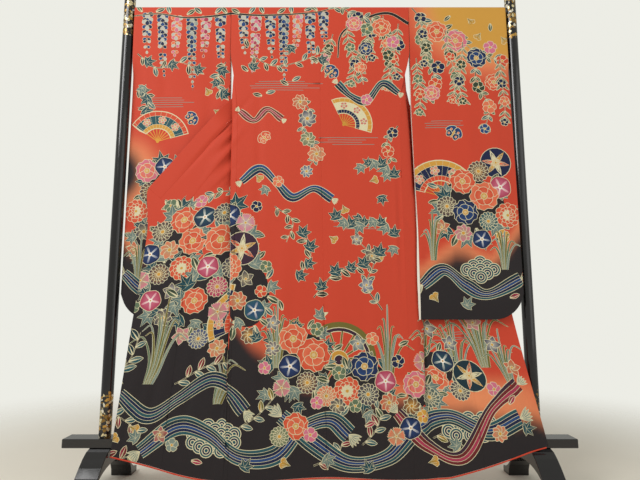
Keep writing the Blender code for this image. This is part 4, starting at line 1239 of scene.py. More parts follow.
    # the left hip
    bed(-0.345, 0.79, 0.13, 0.15, 22, 0.045, "sage moss, ivy, ash teal, ivyDark")
    bed(-0.43, 0.6, 0.12, 0.12, 20, 0.042, "ivyDark, sage moss, ivy")
    bed(-0.235, 0.61, 0.09, 0.13, 18, 0.04, "sage moss, ivy, ash teal")
    temari(-0.255, 0.76, 0.055, "plum", "gold cream orange", 0.4)
    fan(-0.3, 0.52, 0.125, 2.5, "orange navy gold", "coral")
    bouquet("""
        aster -440 880 34 ash plum, camellia -375 875 44 coral orange, glory -300 870 40 blue navy,
        camellia -345 790 52 blue navy, camellia -430 790 50 orange coral, pink -245 845 30 pearl pink,
        dahlia -300 700 46 orange coral, aster -375 700 36 sand navy, glory -455 700 36 pink rose,
        aster -415 635 34 pink rose, aster -345 620 37 ash teal, camellia -480 590 42 coral orange,
        bell -240 660 28 sand navy, clematis -265 590 32 sand orange, glory -210 560 34 blue teal,
        pink -400 555 30 sand pink, clematis -225 480 28 gold navy, small -190 620 20 orange,
        small -175 700 20 sage, small -210 900 19 navy, bell -500 480 30 sand pink,
        aster -445 470 32 sand blue, clematis -380 440 30 sand coral
    """)
    grass(-0.56, 0.33, 0.26, 0.1, 11)
    grass(-0.33, 0.27, 0.2, 0.09, 9)
    # the lower back: a wheel among flowers
    wheel(0.06, 0.405, 0.118, 0.1)
    bed(-0.06, 0.4, 0.12, 0.11, 20, 0.04, "ivy, sage moss, ivyDark")
    bed(0.13, 0.33, 0.13, 0.08, 20, 0.038, "ivyDark, sage moss, ash teal")
    grass(-0.135, 0.38, 0.22, 0.08, 9)
    grass(0.215, 0.33, 0.23, 0.08, 9)
    bouquet("""
        camellia -85 470 46 orange coral, camellia -20 420 52 coral orange, glory -95 385 36 blue navy,
        aster -40 335 34 gold navy, camellia 140 385 44 blue navy, dahlia 85 310 44 coral orange,
        aster 20 295 32 sand coral, aster 150 300 34 ash plum, glory 205 340 34 pink rose,
        clematis 215 275 30 sand orange, bell 120 455 28 pearl teal, pink -120 320 26 sand pink,
        small 60 365 22 sage, clematis -150 440 24 pearl plum
    """)
    bouquet("""
        small -10 500 21 sage, small 165 470 20 coral, bell -150 520 26 pearl navy, small -175 380 20 pink,
        small 245 400 21 navy, clematis 55 265 26 sand navy, small -10 275 20 pink, small 110 265 20 sage
    """)
    scatter("ivyDark, ivy, sage moss", """
        -200 470 2.0, -170 300 3.6, 250 450 0.4, 270 230 -0.6, 0 540 1.3, 40 240 -1.8, -70 265 -1.2,
        150 240 -1.0, -120 560 1.9
    """, 0.034)
    # the right front
    mist(0.4, 0.64, 0.48, 4)
    grass(0.365, 0.33, 0.25, 0.1, 13)
    grass(0.47, 0.3, 0.24, 0.09, 11)
    grass(0.56, 0.38, 0.23, 0.1, 12)
    grass(0.62, 0.33, 0.17, 0.07, 8)
    bed(0.4, 0.38, 0.08, 0.06, 14, 0.034, "sage moss, ivyDark, ivy")
    bouquet("""
        camellia 395 350 36 orange coral, bell 600 450 28 pearl navy, bell 640 380 26 sand orange,
        small 560 315 22 pink, aster 455 310 30 sand navy, small 370 430 20 sage
    """)
    bouquet("""
        bell 345 470 28 sand orange, bell 405 500 30 pearl plum, bell 465 455 26 pearl navy,
        bell 555 520 28 sand pink, pink 325 400 28 sand pink, glory 430 400 34 teal navy
    """)
    temari(0.5, 0.355, 0.048, "deepTeal", "cream coral gold", 0.2)
    bed(0.33, 0.3, 0.07, 0.05, 12, 0.034, "sage moss, ivy")
    bouquet("camellia 300 330 40 coral pink, aster 355 290 32 sand teal, clematis 285 265 28 gold plum")
    spray("-690 330, -645 400, -630 490", 0.042, "ash teal, teal deepTeal", 8)
    spray("-480 330, -400 385, -300 400", 0.036, "ash teal, rose wine", 8)
    spray("-250 200, -190 240, -135 300", 0.034, "ash teal, gold olive", 6)
    spray("-700 140, -640 110, -580 120", 0.036, "gold olive, rose wine", 5)
    spray("-680 250, -620 225, -560 180", 0.034, "rose wine, ash teal", 6)
    spray("130 150, 170 190, 190 240", 0.034, "ash teal, rose wine", 5)
    spray("350 170, 400 190, 440 150", 0.032, "gold olive, ash teal", 5)
    spray("-20 90, 50 120, 70 160", 0.03, "rose wine, ash teal", 5)
    # ribbons, waves and fallen leaves on the dark hem
    waveScales(-0.33, 0.17, 0.085, 0.038)
    waveScales(0.465, 0.205, 0.075, 0.03)
    noshi("-640 300, -545 235, -455 285, -375 345, -290 310, -235 250",
          0.048, "deepTeal navy teal navy deepTeal")
    noshi("-560 130, -450 205, -355 185, -250 115, -140 120, -60 195, 30 225, 90 180",
          0.056, "teal navy blue navy deepTeal teal")
    noshi("-120 235, -20 155, 90 95, 210 115, 290 190, 400 235, 520 190, 630 230",
          0.058, "deepTeal teal navy blue navy teal")
    noshi("240 245, 330 150, 440 120, 540 255, 640 330", 0.044, "wine rose wine plum")
    bouquet("""
        camellia -75 205 40 coral orange, aster -125 175 30 sand sage, small -30 180 22 pink,
        glory 280 200 34 blue navy, pink 235 175 26 sand coral, small 320 235 20 gold,
        bell -500 180 26 sand rose, small -460 150 20 ash, clematis 560 185 26 sand coral
    """)
    scatter("ginkgo, ivy, wine rose, ivyDark", """
        -600 205 -0.4, -575 170 2.6, -395 105 -0.2, -230 85 1.0, -90 90 2.8, 20 110 -0.6, 140 205 0.4,
        150 80 2.0, 330 100 0.2, 420 150 2.4, 600 270 0.9, 645 200 0.1, -660 160 0.5
    """, 0.034)
    # the fronts' upper parts, which hang behind
    for sign in (-1, 1):
        points = [(sign * x, y) for x, y in read("500 1600, 440 1520, 470 1430, 420 1340")]
        flowers = "0.25 camellia 30 coral orange, 0.55 small 22 navy, 0.85 camellia 28 coral pink"
        garland(points, flowers, 0.03)
        places = [(sign * x, y, turn) for x, y, turn in read("400 1220 -1.2, 450 1140 -2.0, 380 1070 -0.7")]
        scatter("ginkgo, ivy, sage moss", places, 0.032)


def leftSleeveDesign():
    wisterias("""
        -352 1590 200 0.04 navy blue pearl, -402 1584 150 -0.05 pink pearl rose,
        -452 1580 260 0.03 blue navy ash, -505 1586 170 -0.04 coral pearl pink,
        -556 1592 230 0.05 navy blue pearl, -610 1598 150 0.02 blue navy pearl
    """)
    branch("-310 1600, -390 1588, -480 1584, -570 1598, -660 1590", 0.007)
    scatter("sage moss, ash teal, sage deepTeal", """
        -330 1600 2.2, -370 1600 0.8, -420 1600 2.4, -470 1595 0.6, -530 1600 1.9, -580 1606 0.4,
        -630 1606 2.2
    """, 0.034)
    spray("-640 1450, -570 1400, -490 1420, -410 1380", 0.032, "moss black, ivyDark, ash teal", 8)
    spray("-640 1330, -600 1290, -610 1230", 0.032, "moss black, ivyDark, ash teal", 8)
    spray("-330 1420, -360 1350, -330 1290", 0.032, "moss black, ivyDark, ash teal", 8)
    mist(-0.64, -0.42, 1.28, 5)
    fan(-0.56, 1.135, 0.11, 1.4, "gold teal orange", "coral")
    butterfly(-0.45, 1.215, 0.028, 0.5)
    scatter("ginkgo, ivy, ginkgo", "-400 1330 -1.0, -620 1330 -2.0, -370 1250 -0.6", 0.03)
    bed(-0.52, 0.96, 0.11, 0.11, 18, 0.04, "sage moss, ivy, ivyDark")
    bed(-0.56, 0.79, 0.09, 0.08, 16, 0.038, "ivyDark, sage moss, ivy")
    bouquet("""
        camellia -590 1030 40 coral pink, glory -530 1045 34 blue navy,
        camellia -500 975 44 orange coral, aster -575 955 36 gold navy, dahlia -620 890 40 coral orange,
        glory -545 885 36 pink rose, aster -480 895 32 sand plum, clematis -590 820 30 sand navy,
        camellia -530 800 38 blue navy, bell -620 760 28 sand orange, small -470 820 22 sage,
        pink -560 745 26 sand pink
    """)
    grass(-0.6, 0.64, 0.17, 0.06, 8)
    grass(-0.43, 0.65, 0.18, 0.08, 8)
    noshi("-650 680, -570 620, -490 650, -420 610, -350 640", 0.042, "teal navy blue navy teal")
    scatter("ginkgo, wine rose, ivy", "-600 590 0.4, -500 575 2.2, -380 580 1.0", 0.032)


def rightSleeveDesign():
    garland("325 1620, 385 1550, 460 1530, 545 1450, 635 1420",
            "0.1 small 21 navy, 0.98 small 22 orange", 0.032)
    garland("380 1540, 370 1440, 400 1350, 375 1270", "0.4 small 21 sage, 0.75 small 23 orange", 0.028)
    garland("545 1440, 540 1340, 580 1250, 560 1170",
            "0.4 small 22 moss, 0.7 small 24 coral, 1.0 small 18 blue", 0.028)
    bouquet("""
        camellia 410 1530 38 orange coral, camellia 475 1495 40 coral pink, small 355 1500 23 sage,
        camellia 545 1430 36 blue navy, small 455 1440 22 moss, small 595 1470 24 pink,
        small 410 1395 24 navy, camellia 600 1340 30 coral orange, camellia 385 1300 28 coral pink
    """)
    strands("""
        352 1590 180 20 navy moss, 440 1535 260 30 orange sage, 500 1490 220 -20 moss navy,
        625 1425 230 10 navy coral, 335 1430 200 10 sage orange
    """)
    scatter("ginkgo, sage moss, ginkgo", """
        520 1580 -0.8, 600 1560 -1.6, 565 1525 -2.2, 635 1510 -0.9, 460 1590 -2.4
    """, 0.03)
    mist(0.33, 0.5, 1.19, 4)
    butterfly(0.45, 1.15, 0.032, 1.0)
    temari(0.59, 1.05, 0.052, "navy", "gold cream coral", 0.9)
    fan(0.4, 0.935, 0.125, 1.75, "orange navy gold", "coral")
    bed(0.5, 0.9, 0.14, 0.12, 24, 0.04, "sage moss, ivy, ash teal, ivyDark")
    bouquet("""
        aster 530 1020 36 gold navy, camellia 475 985 42 coral orange, glory 600 965 38 pink rose,
        camellia 545 935 48 orange coral, aster 420 900 34 sand plum, camellia 480 880 42 blue navy,
        dahlia 620 870 42 coral orange, aster 555 850 32 ash teal, bell 400 830 28 sand orange,
        clematis 470 810 30 sand pink, glory 530 790 32 blue navy, small 600 800 22 gold
    """)
    grass(0.37, 0.72, 0.16, 0.05, 7)
    grass(0.6, 0.69, 0.14, 0.06, 8)
    waveScales(0.52, 0.69, 0.055, 0.026)
    noshi("330 640, 400 690, 470 640, 540 610, 650 660", 0.044, "teal navy blue navy deepTeal")
    scatter("wine rose, ginkgo, ivy", "610 600 0.3, 380 585 2.2, 470 575 1.0", 0.034)


topLine = rodHeight + math.pi / 2 * restRadius  # the cloth's length up to the rod's top
bodyDesign()
for side, design in (("Left", leftSleeveDesign), ("Right", rightSleeveDesign)):
    brush["canvas"] = "sleeve" + side
    design()
    canvas = canvases["sleeve" + side]
    for points, inner, outer, centre, reach, gold in list(canvas):  # the same again down the far side
        over = points * (1, -1) + (0, 2 * topLine), inner, outer, centre * (1, -1) + (0, 2 * topLine)
        canvas.append((*over, reach, gold))
print("design drawn:", {name: len(shapes) for name, shapes in canvases.items()})

ground = {  # (across, height of the dark hem's upper border)
    "body": ((-0.8, 0.76), (-0.62, 0.73), (-0.5, 0.67), (-0.38, 0.6), (-0.28, 0.52), (-0.18, 0.41),
             (-0.06, 0.34), (0.06, 0.315), (0.2, 0.29), (0.32, 0.265), (0.42, 0.25), (0.6, 0.225),
             (0.8, 0.21)),
    "sleeveLeft": ((-0.66, 0.78), (-0.56, 0.7), (-0.44, 0.72), (-0.32, 0.66)),
    "sleeveRight": ((0.32, 0.66), (0.44, 0.74), (0.56, 0.7), (0.66, 0.8)),
    "shade": 0.05, "ripples": ((0.006, 31, 0), (0.004, 67, 1)), "glowRise": (-1.4, -0.3),
    "darkRise": (-0.8, 0.8), "glow": 0.85, "glowLeft": 0.35, "glowGain": 0.5, "glowAcross": (0.1, 0.35),
}
# colour, middle across and down, reach across and down, softness
clouds = {
    "body": (("peach", -0.13, 0.4, 0.05, 0.03, 0.9), ("peach", 0.54, 0.29, 0.22, 0.06, 0.9)),
    "sleeveLeft": (("peach", -0.66, 1.02, 0.12, 0.13, 0.6), ("black", -0.69, 1.02, 0.09, 0.1, 0.5)),
    "sleeveRight": (("peach", 0.64, 1.62, 0.33, 0.27, 0.35), ("gold", 0.66, 1.64, 0.3, 0.23, 0.25)),
}
# Where the white lining meets the red facing, and where the red painted on the lining's edge ends
liningSeam = {"hem": 0.62, "cuff": 0.6, "rolled": 0.47, "edge": 0.91, "far": 3.0}


def linings():  # the facing of the lining in red, along the hem and inside the wrists
    far, hem, cuff = liningSeam["far"], liningSeam["hem"], liningSeam["cuff"]
    brush["canvas"] = "liningBody"
    draw([(-far, -far), (far, -far), (far, hem), (-far, hem)], dye["red"])
    brush["canvas"] = "liningSleeve"
    for sign in (-1, 1):
        draw([(sign * cuff, -far), (sign * far, -far), (sign * far, far), (sign * cuff, far)], dye["red"])
    brush["canvas"] = "liningEdge"  # above this the white edge is painted red: partly the outer silk rolled round the edge, partly painted shade for the dark slit between body and sleeve
    for start, end in ((-far, liningSeam["rolled"]), (2 * liningSeam["edge"] - liningSeam["rolled"], far)):
        draw([(-far, start), (far, start), (far, end), (-far, end)], dye["red"])


linings()


def mixed(low, high, share):
    share = np.clip(share, 0, 1)[..., None]
    return low * (1 - share) + high * share


def groundColour(canvas, cloth):
    across, down = cloth[..., 0], cloth[..., 1]
    colour = np.broadcast_to(np.array(dye["red"]), across.shape + (3,))
    if canvas == "collar":
        return colour
    if canvas.startswith("lining"):
        return np.broadcast_to(np.array(dye["white"]), across.shape + (3,))
    down = np.where(down > topLine, 2 * topLine - down, down)
    for name, cx, cy, rx, ry, soft in clouds[canvas]:
        reach = np.hypot((across - cx) / rx, (down - cy) / ry)
        colour = mixed(colour, np.array(dye[name]), 1 - smooth(1 - soft, 1 + soft * 0.5, reach))
    table = np.array(ground[canvas])
    border = np.interp(across, table[:, 0], table[:, 1])
    for size, pace, start in ground["ripples"]:
        border = border + size * np.sin(across * pace + start)
    depth = (border - down) / ground["shade"]
    glow = ground["glow"]
    if canvas == "body":  # weaker to the left
        glow = ground["glowLeft"] + ground["glowGain"] * smooth(*ground["glowAcross"], across)
    colour = mixed(colour, np.array(dye["peach"]), smooth(*ground["glowRise"], depth) * glow)
    return mixed(colour, np.array(dye["black"]), smooth(*ground["darkRise"], depth))


def dyeCorners(made, colour):
    layer = made.data.color_attributes.new(name="dyed", type="FLOAT_COLOR", domain="CORNER")
    layer.data.foreach_set("color", colour.astype(np.float32).ravel())


def paintPiece(made, faces, laid, canvas, shapes=()):
    # Corner colours: the shape's own or the ground's, and where there is gold
    cloth = laid["cloth"][faces]
    colour = np.empty(faces.shape + (4,))
    colour[..., :3] = groundColour(canvas, cloth)
    colour[..., 3] = 0.0
    if len(shapes):
        shown = laid["top"] >= 0
        plain = np.array([s[1] is None for s in shapes])
        shown[shown] = ~plain[laid["top"][shown]]
        number = laid["top"][shown]
        inner = np.array([s[1] or (0, 0, 0) for s in shapes])[number][:, None]
        outer = np.array([s[2] or (0, 0, 0) for s in shapes])[number][:, None]
        centre = np.array([s[3] for s in shapes])[number][:, None]
        reach = np.array([s[4] for s in shapes])[number][:, None]
        share = np.clip(np.linalg.norm(cloth[shown] - centre, axis=2) / reach, 0, 1)[..., None]
        colour[shown, :, :3] = inner * (1 - share) + outer * share
        colour[shown, :, 3] = np.array([s[5] for s in shapes])[number][:, None]
    dyeCorners(made, colour)


# Shared effects, each a node group made once
def newGroup(name, inputs, outputs):
    tree = bpy.data.node_groups.new(name, "ShaderNodeTree")
    for title, kind, start in inputs:
        socket = tree.interface.new_socket(title, in_out="INPUT", socket_type="NodeSocket" + kind)
        if start is not None:
            socket.default_value = start
    for title, kind in outputs:
        tree.interface.new_socket(title, in_out="OUTPUT", socket_type="NodeSocket" + kind)
    return tree, tree.nodes.new("NodeGroupInput"), tree.nodes.new("NodeGroupOutput")


def feed(tree, node, links):  # a node's inputs, each linked to a socket or set to a value
    for socket, value in dict(links).items():
        if isinstance(value, bpy.types.NodeSocket):
            tree.links.new(value, node.inputs[socket])
        else:
            node.inputs[socket].default_value = value
    return node


def put(tree, kind, links=(), **settings):  # a new node with its settings and inputs
    made = tree.nodes.new("ShaderNode" + kind)
    for key, value in settings.items():
        setattr(made, key, value)
    return feed(tree, made, links)


def work(tree, operation, *values):  # a sum with numbers or sockets
    return put(tree, "Math", dict(enumerate(values)), operation=operation).outputs[0]


def noise(tree, place, scale, detail=2.0, **more):
    return put(tree, "TexNoise", {"Vector": place, "Scale": scale, "Detail": detail, **more}).outputs[0]


crepeLook = {  # texture scales on the cloth, how deep the swell is, and roughness with its spread
    "thread": (1500, 520, 1), "weft": 210.0, "broad": 17.0, "blotch": 5.0, "swell": 1.4,
    "shine": (0.1, 0.62),
}


def crepeGroup():
    # The silk's grain: fine uneven crepe threads, a faint weave and broad soft unevenness
    tree, inside, outside = newGroup(
        "crepe_grain",
        (("Cloth", "Vector", None), ("Grain", "Float", 1.0), ("Tone depth", "Float", 0.06)),
        (("Height", "Float"), ("Tone", "Float"), ("Shine", "Float")),
    )
    cloth = inside.outputs["Cloth"]
    long = put(tree, "Mapping", {"Vector": cloth, "Scale": crepeLook["thread"]}).outputs[0]
    threads = noise(tree, long, 1.0, 2.0, Distortion=0.4)
    waves = {"Vector": cloth, "Scale": crepeLook["weft"], "Distortion": 2.2, "Detail": 1.0}
    weft = put(tree, "TexWave", waves, bands_direction="Y").outputs["Fac"]
    grain = work(tree, "MULTIPLY", work(tree, "MULTIPLY", threads, weft), inside.outputs["Grain"])
    blotch = noise(tree, cloth, crepeLook["blotch"], 4.0, Roughness=0.6)
    uneven = work(tree, "SUBTRACT", work(tree, "ADD", threads, blotch), 1.0)
    broad = noise(tree, cloth, crepeLook["broad"], 3.0)
    feed(tree, outside, {
        "Height": work(tree, "MULTIPLY_ADD", broad, crepeLook["swell"], grain),
        "Tone": work(tree, "MULTIPLY_ADD", uneven, inside.outputs["Tone depth"], 1.0),
        "Shine": work(tree, "MULTIPLY_ADD", uneven, *crepeLook["shine"]),
    })
    return tree


chipLook = {  # scale of the flakes, ragged border, thinning, joints, and colours with where they start
    "scale": 105.0, "ragged": (55.0, 0.05), "thinning": (-0.012, 0.045, 0.0, 0.72), "joint": 0.05,
    "colours": ((0.0, "8a6a2c"), (0.25, "c79a45"), (0.5, "e8d9a8"), (0.72, "6e5a3a"), (0.86, "efe8d2")),
}


def chipGroup():
    # Flakes of shell and gold leaf laid in the lacquer between two heights, thinning out towards the middle
    tree, inside, outside = newGroup(
        "leaf_chips",
        (("Place", "Vector", None), ("Low end", "Float", 0.338), ("High start", "Float", 1.53)),
        (("Mask", "Float"), ("Colour", "Color"), ("Edge", "Float")),
    )
    place = inside.outputs["Place"]
    cells = {"Vector": place, "Scale": chipLook["scale"], "Randomness": 1.0}
    flakes = put(tree, "TexVoronoi", cells)
    apart = put(tree, "TexVoronoi", cells, feature="DISTANCE_TO_EDGE").outputs["Distance"]
    pick = put(tree, "SeparateColor", {0: flakes.outputs["Color"]})
    height = put(tree, "SeparateXYZ", {0: place}).outputs["Z"]
    scale, amount = chipLook["ragged"]
    shift = work(tree, "MULTIPLY_ADD", noise(tree, place, scale), amount, height)
    below = work(tree, "SUBTRACT", inside.outputs["Low end"], shift)
    above = work(tree, "SUBTRACT", shift, inside.outputs["High start"])
    limits = dict(enumerate((work(tree, "MAXIMUM", below, above), *chipLook["thinning"])))
    laidOn = work(tree, "LESS_THAN", pick.outputs[0], put(tree, "MapRange", limits).outputs[0])
    ramp = put(tree, "ValToRGB", {0: pick.outputs[1]})
    ramp.color_ramp.interpolation = "CONSTANT"
    for number, (at, code) in enumerate(chipLook["colours"]):
        stop = ramp.color_ramp.elements[number] if number < 2 else ramp.color_ramp.elements.new(at)
        stop.position, stop.color = at, (*ink(code), 1)
    feed(tree, outside, {
        "Mask": work(tree, "MULTIPLY", laidOn, work(tree, "GREATER_THAN", apart, chipLook["joint"])),
        "Colour": ramp.outputs[0], "Edge": apart,
    })
    return tree


crepe, chips = crepeGroup(), chipGroup()


def newMaterial(name):
    made = bpy.data.materials.new(name)
    made.use_nodes = True
    return made, made.node_tree, made.node_tree.nodes["Principled BSDF"]


def silkMaterial(name, grain, toneDepth, sheen, bump):
    made, tree, shader = newMaterial(name)
    cloth = put(tree, "UVMap", uv_map="cloth").outputs[0]
    weaveNode = put(tree, "Group", node_tree=crepe)
    feed(tree, weaveNode, {"Cloth": cloth, "Grain": grain, "Tone depth": toneDepth})
    dyed = put(tree, "VertexColor", layer_name="dyed")
    toned = put(tree, "Mix", data_type="RGBA", blend_type="MULTIPLY")
    feed(tree, toned, {0: 1.0, 6: dyed.outputs["Color"], 7: weaveNode.outputs["Tone"]})
    raised = put(tree, "Bump", {"Height": weaveNode.outputs["Height"], "Strength": bump, "Distance": 0.0004})
    feed(tree, shader, {
        "Base Color": toned.outputs[2], "Metallic": dyed.outputs["Alpha"], "Normal": raised.outputs[0],
        "Roughness": weaveNode.outputs["Shine"], "Sheen Weight": sheen, "Sheen Roughness": 0.45,
        "Specular IOR Level": 0.22,
    })
    return made


lacquerLook = {  # smears: scale, their span and the roughness over it; two blacks; waves: scale and strength
    "smear": 9.0, "span": (0.3, 0.7, 0.1, 0.2), "blacks": ("100f10", "1b191a"), "wave": (22.0, 0.08),
    "coat": (0.3, 0.06), "leafMetal": 0.55, "leafRough": 0.16,
}


def lacquerMaterial(name, chipped):
    made, tree, shader = newMaterial(name)
    place = put(tree, "NewGeometry").outputs["Position"]
    smear = noise(tree, place, lacquerLook["smear"], 3.0)
    rough = put(tree, "MapRange", dict(enumerate((smear, *lacquerLook["span"])))).outputs[0]
    depth = put(tree, "ValToRGB", {0: smear})
    for stop, code in zip(depth.color_ramp.elements, lacquerLook["blacks"]):
        stop.color = (*ink(code), 1)
    colour = depth.outputs[0]
    scale, strength = lacquerLook["wave"]
    wave = noise(tree, place, scale)
    raised = put(tree, "Bump", {"Height": wave, "Strength": strength, "Distance": 0.002}).outputs[0]
    if chipped:
        flakes = put(tree, "Group", node_tree=chips)
        feed(tree, flakes, {"Place": place})
        mask = flakes.outputs["Mask"]
        over = put(tree, "Mix", data_type="RGBA")
        feed(tree, over, {0: mask, 6: colour, 7: flakes.outputs["Colour"]})
        colour = over.outputs[2]
        feed(tree, shader, {"Metallic": work(tree, "MULTIPLY", mask, lacquerLook["leafMetal"])})
        rough = work(tree, "MULTIPLY_ADD", mask, lacquerLook["leafRough"], rough)
    weight, coatRough = lacquerLook["coat"]
    feed(tree, shader, {
        "Base Color": colour, "Roughness": rough, "Normal": raised, "Coat Weight": weight,
        "Coat Roughness": coatRough,
    })
    return made


silk = silkMaterial("dyed_silk", grain=1.0, toneDepth=0.08, sheen=0.03, bump=0.5)
lining = silkMaterial("lining_silk", grain=0.5, toneDepth=0.05, sheen=0.05, bump=0.35)
lacquer, chipped = lacquerMaterial("black_lacquer", False), lacquerMaterial("black_lacquer_chips", True)
print("materials made")


def readAlong(values, heights):  # values by height from a panel's edge
    order = np.argsort(heights)
    return lambda wanted: np.interp(wanted, heights[order], values[order])


# Soft creases: middle across and height, lean (across per metre down), reach across and down, and depth,
# which is below 0 for a ridge
creases = {
    "body": (
        (-0.205, 1.05, 0.02, 0.013, 0.42, 0.0022), (-0.12, 0.56, -0.03, 0.026, 0.4, -0.003),
        (-0.175, 0.38, -0.07, 0.018, 0.33, 0.0034), (-0.06, 0.3, -0.02, 0.022, 0.26, 0.0026),
        (0.055, 0.48, 0.02, 0.03, 0.38, -0.0028), (0.11, 0.27, 0.06, 0.017, 0.24, 0.003),
        (0.178, 0.42, 0.05, 0.022, 0.36, -0.0032), (0.236, 0.3, 0.04, 0.012, 0.27, 0.003),
        (0.1, 1.18, -0.02, 0.03, 0.3, 0.002), (-0.02, 1.0, 0.01, 0.028, 0.34, -0.0018),
        (0.262, 0.86, 0.01, 0.008, 0.34, 0.0028), (0.25, 0.82, 0.0, 0.007, 0.26, -0.002),
        (0.29, 0.845, 0.55, 0.007, 0.055, 0.0022), (0.296, 0.795, 0.5, 0.006, 0.045, 0.0018),
        (-0.262, 0.7, -0.01, 0.009, 0.4, 0.002), (-0.318, 0.52, -0.08, 0.016, 0.34, 0.0034),
        (-0.372, 0.64, -0.1, 0.02, 0.26, -0.003), (-0.405, 0.33, -0.13, 0.015, 0.26, 0.0036),
        (-0.462, 0.48, -0.16, 0.02, 0.3, -0.0034), (-0.52, 0.3, -0.2, 0.014, 0.22, 0.0034),
        (-0.565, 0.42, -0.17, 0.018, 0.24, -0.0026), (-0.585, 0.23, -0.28, 0.01, 0.15, 0.0026),
        (0.345, 0.33, 0.09, 0.016, 0.26, 0.0034), (0.405, 0.26, 0.12, 0.02, 0.22, -0.0032),
        (0.462, 0.38, 0.15, 0.016, 0.24, 0.0034), (0.535, 0.35, 0.21, 0.012, 0.22, -0.003),
        (0.57, 0.38, 0.27, 0.009, 0.2, 0.0034), (0.606, 0.3, 0.34, 0.009, 0.17, -0.003),
        (0.632, 0.3, 0.38, 0.007, 0.15, 0.0028), (0.658, 0.215, 0.42, 0.006, 0.09, -0.002),
        (-0.33, 0.985, -0.9, 0.008, 0.1, 0.0022), (-0.3, 0.905, -0.55, 0.01, 0.13, -0.0022),
        (-0.351, 1.145, -0.82, 0.009, 0.19, 0.0052), (-0.318, 1.09, -0.7, 0.013, 0.14, -0.003),
    ),
    "sleeve": (
        (-0.385, 1.18, -0.03, 0.022, 0.42, 0.0024), (-0.455, 0.98, 0.03, 0.028, 0.44, -0.0026),
        (-0.545, 1.25, -0.02, 0.02, 0.36, 0.0024), (-0.6, 0.9, -0.04, 0.018, 0.34, -0.002),
        (0.372, 1.2, 0.02, 0.024, 0.44, 0.0022), (0.44, 0.85, -0.03, 0.022, 0.34, -0.0024),
        (0.505, 1.15, 0.03, 0.026, 0.4, -0.0022), (0.56, 0.82, 0.05, 0.02, 0.32, 0.0026),
        (0.618, 1.05, 0.02, 0.014, 0.44, 0.0018), (0.345, 0.7, -0.02, 0.01, 0.2, 0.0016),
    ),
    "fade": (1.5, 1.595),
}


def creaseDepth(table, across, height):
    depth = np.zeros_like(across)
    for cx, cz, lean, wide, tall, amount in table:
        away = across - cx - lean * (cz - height)
        depth += amount * np.exp(-((away / wide) ** 2)) * smooth(1.0, 0.0, np.abs(height - cz) / tall)
    return depth * smooth(creases["fade"][1], creases["fade"][0], height)


def bodyCreases(across, height):
    return creaseDepth(creases["body"], across, height)


def sleeveCreases(across, height):
    return creaseDepth(creases["sleeve"], across, height)


tuck = 0.007  # how far a seam allowance goes into the collar, in metres


def tuckedOkumi(side):  # its upper edge and its corner run on inside the collar
    rows, (along, step) = okumiRows(side), collarFrame(side)[2:]
    last = len(rows) - 1 - cutBody["lowerSteps"]
    for number in range(last):
        inward = -step.normalized() * tuck - along * (tuck if number == last - 1 else 0)
        x, y, z, down = rows[number][-1]
        rows[number][-1] = (x + sideSign(side) * inward.x, y, z + inward.y, down + inward.y)
    return rows


def bodyLattices(side):
    sign = sideSign(side)
    back = makeLattice(backRows(side), sign, np.s_[-1:, :], bodyCreases)
    seam = np.array([(row[0], sign * row[1]) for row in cutBody["front"][side]])
    startAcross = readAlong(seam[:, 1], seam[:, 0])
    front = makeLattice(frontRows(side), sign, np.s_[-1:, -3:], bodyCreases, startAcross)
    endAcross = readAlong(front["across"][:, -1], front["down"][:, -1])
    okumi = makeLattice(tuckedOkumi(side), sign, np.s_[-1:, :], bodyCreases, endAcross)
    return {"back_" + side: back, "front_" + side: front, "okumi_" + side: okumi}


# How far the white edge shows, and the shares of it left above one height and lost below another
liningEdge = {
    "start": 1.44, "width": 0.008, "least": 0.06, "widening": (0.95, 0.66), "lost": 0.4,
    "narrowing": (0.64, 0.54),
}


def liningEdgeRows(side):  # past the sleeve's inner edge, down its near wall and up the far one
    line = [row[0] for row in sleeveRows(side)]
    near, far = line[:cutSleeve["rows"] + 1][::-1], line[-cutSleeve["rows"] - 1:]
    run = [p for p in near + far[::-1] if p[2] < liningEdge["start"]]
    least, columns = liningEdge["least"], []
    for share in (1.0, 0.5, 0.0):
        placed = []
        for x, y, z, _ in run:
            shown = least + (1 - least) * smooth(*liningEdge["widening"], z) * (
                1 - liningEdge["lost"] * smooth(*liningEdge["narrowing"], z))
            out = gap + liningEdge["width"] * shown * share
            placed.append((x - sideSign(side) * out, y, z, len(placed)))
        columns.append(placed)
    return [list(row) for row in zip(*columns)]


def dress(made, nodes=()):
    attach(made, "root")
    if nodes:
        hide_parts(*nodes)


def buildPanel(name, lattice, canvas, liningCanvas, extras=()):
    laid = layCloth(lattice, canvases[canvas])
    made, faces = makePiece(name + "_silk", laid, 1, silk)
    paintPiece(made, faces, laid, canvas, canvases[canvas])
    dress(made, [name])
    count = len(faces)
    laid = layCloth(lattice, canvases[liningCanvas])
    made, faces = makePiece(name + "_lining", laid, -1, lining)
    paintPiece(made, faces, laid, liningCanvas, canvases[liningCanvas])
    dress(made, ())
    print(f"{name}: {count} triangles, lining {len(faces)}")


lattices = {}
for side in ("left", "right"):
    lattices.update(bodyLattices(side))
    lattices["sleeve_" + side] = makeLattice(
        sleeveRows(side), sideSign(side), np.s_[:3, :], sleeveCreases, coarse=1.5)


def plainLattice(rows, facing, thick, folds):  # for a piece whose cloth coordinates are its own lengths
    made = makeLattice(rows, 1, facing, folds, lambda down: 0 * down, thick)
    made["down"] = made["edges"][..., 2].copy()
    return made


def buildCollar():
    rows = [[(*p, number) for p in row] for number, row in enumerate(collarRows())]
    laid = layCloth(plainLattice(rows, np.s_[:3, :], cutCollar["thickness"], bodyCreases))
    for title, side in (("collar_silk", 1), ("collar_inside", -1)):
        made, faces = makePiece(title, laid, side, silk)
        paintPiece(made, faces, laid, "collar")
        dress(made, ["collar"] if side > 0 else ())


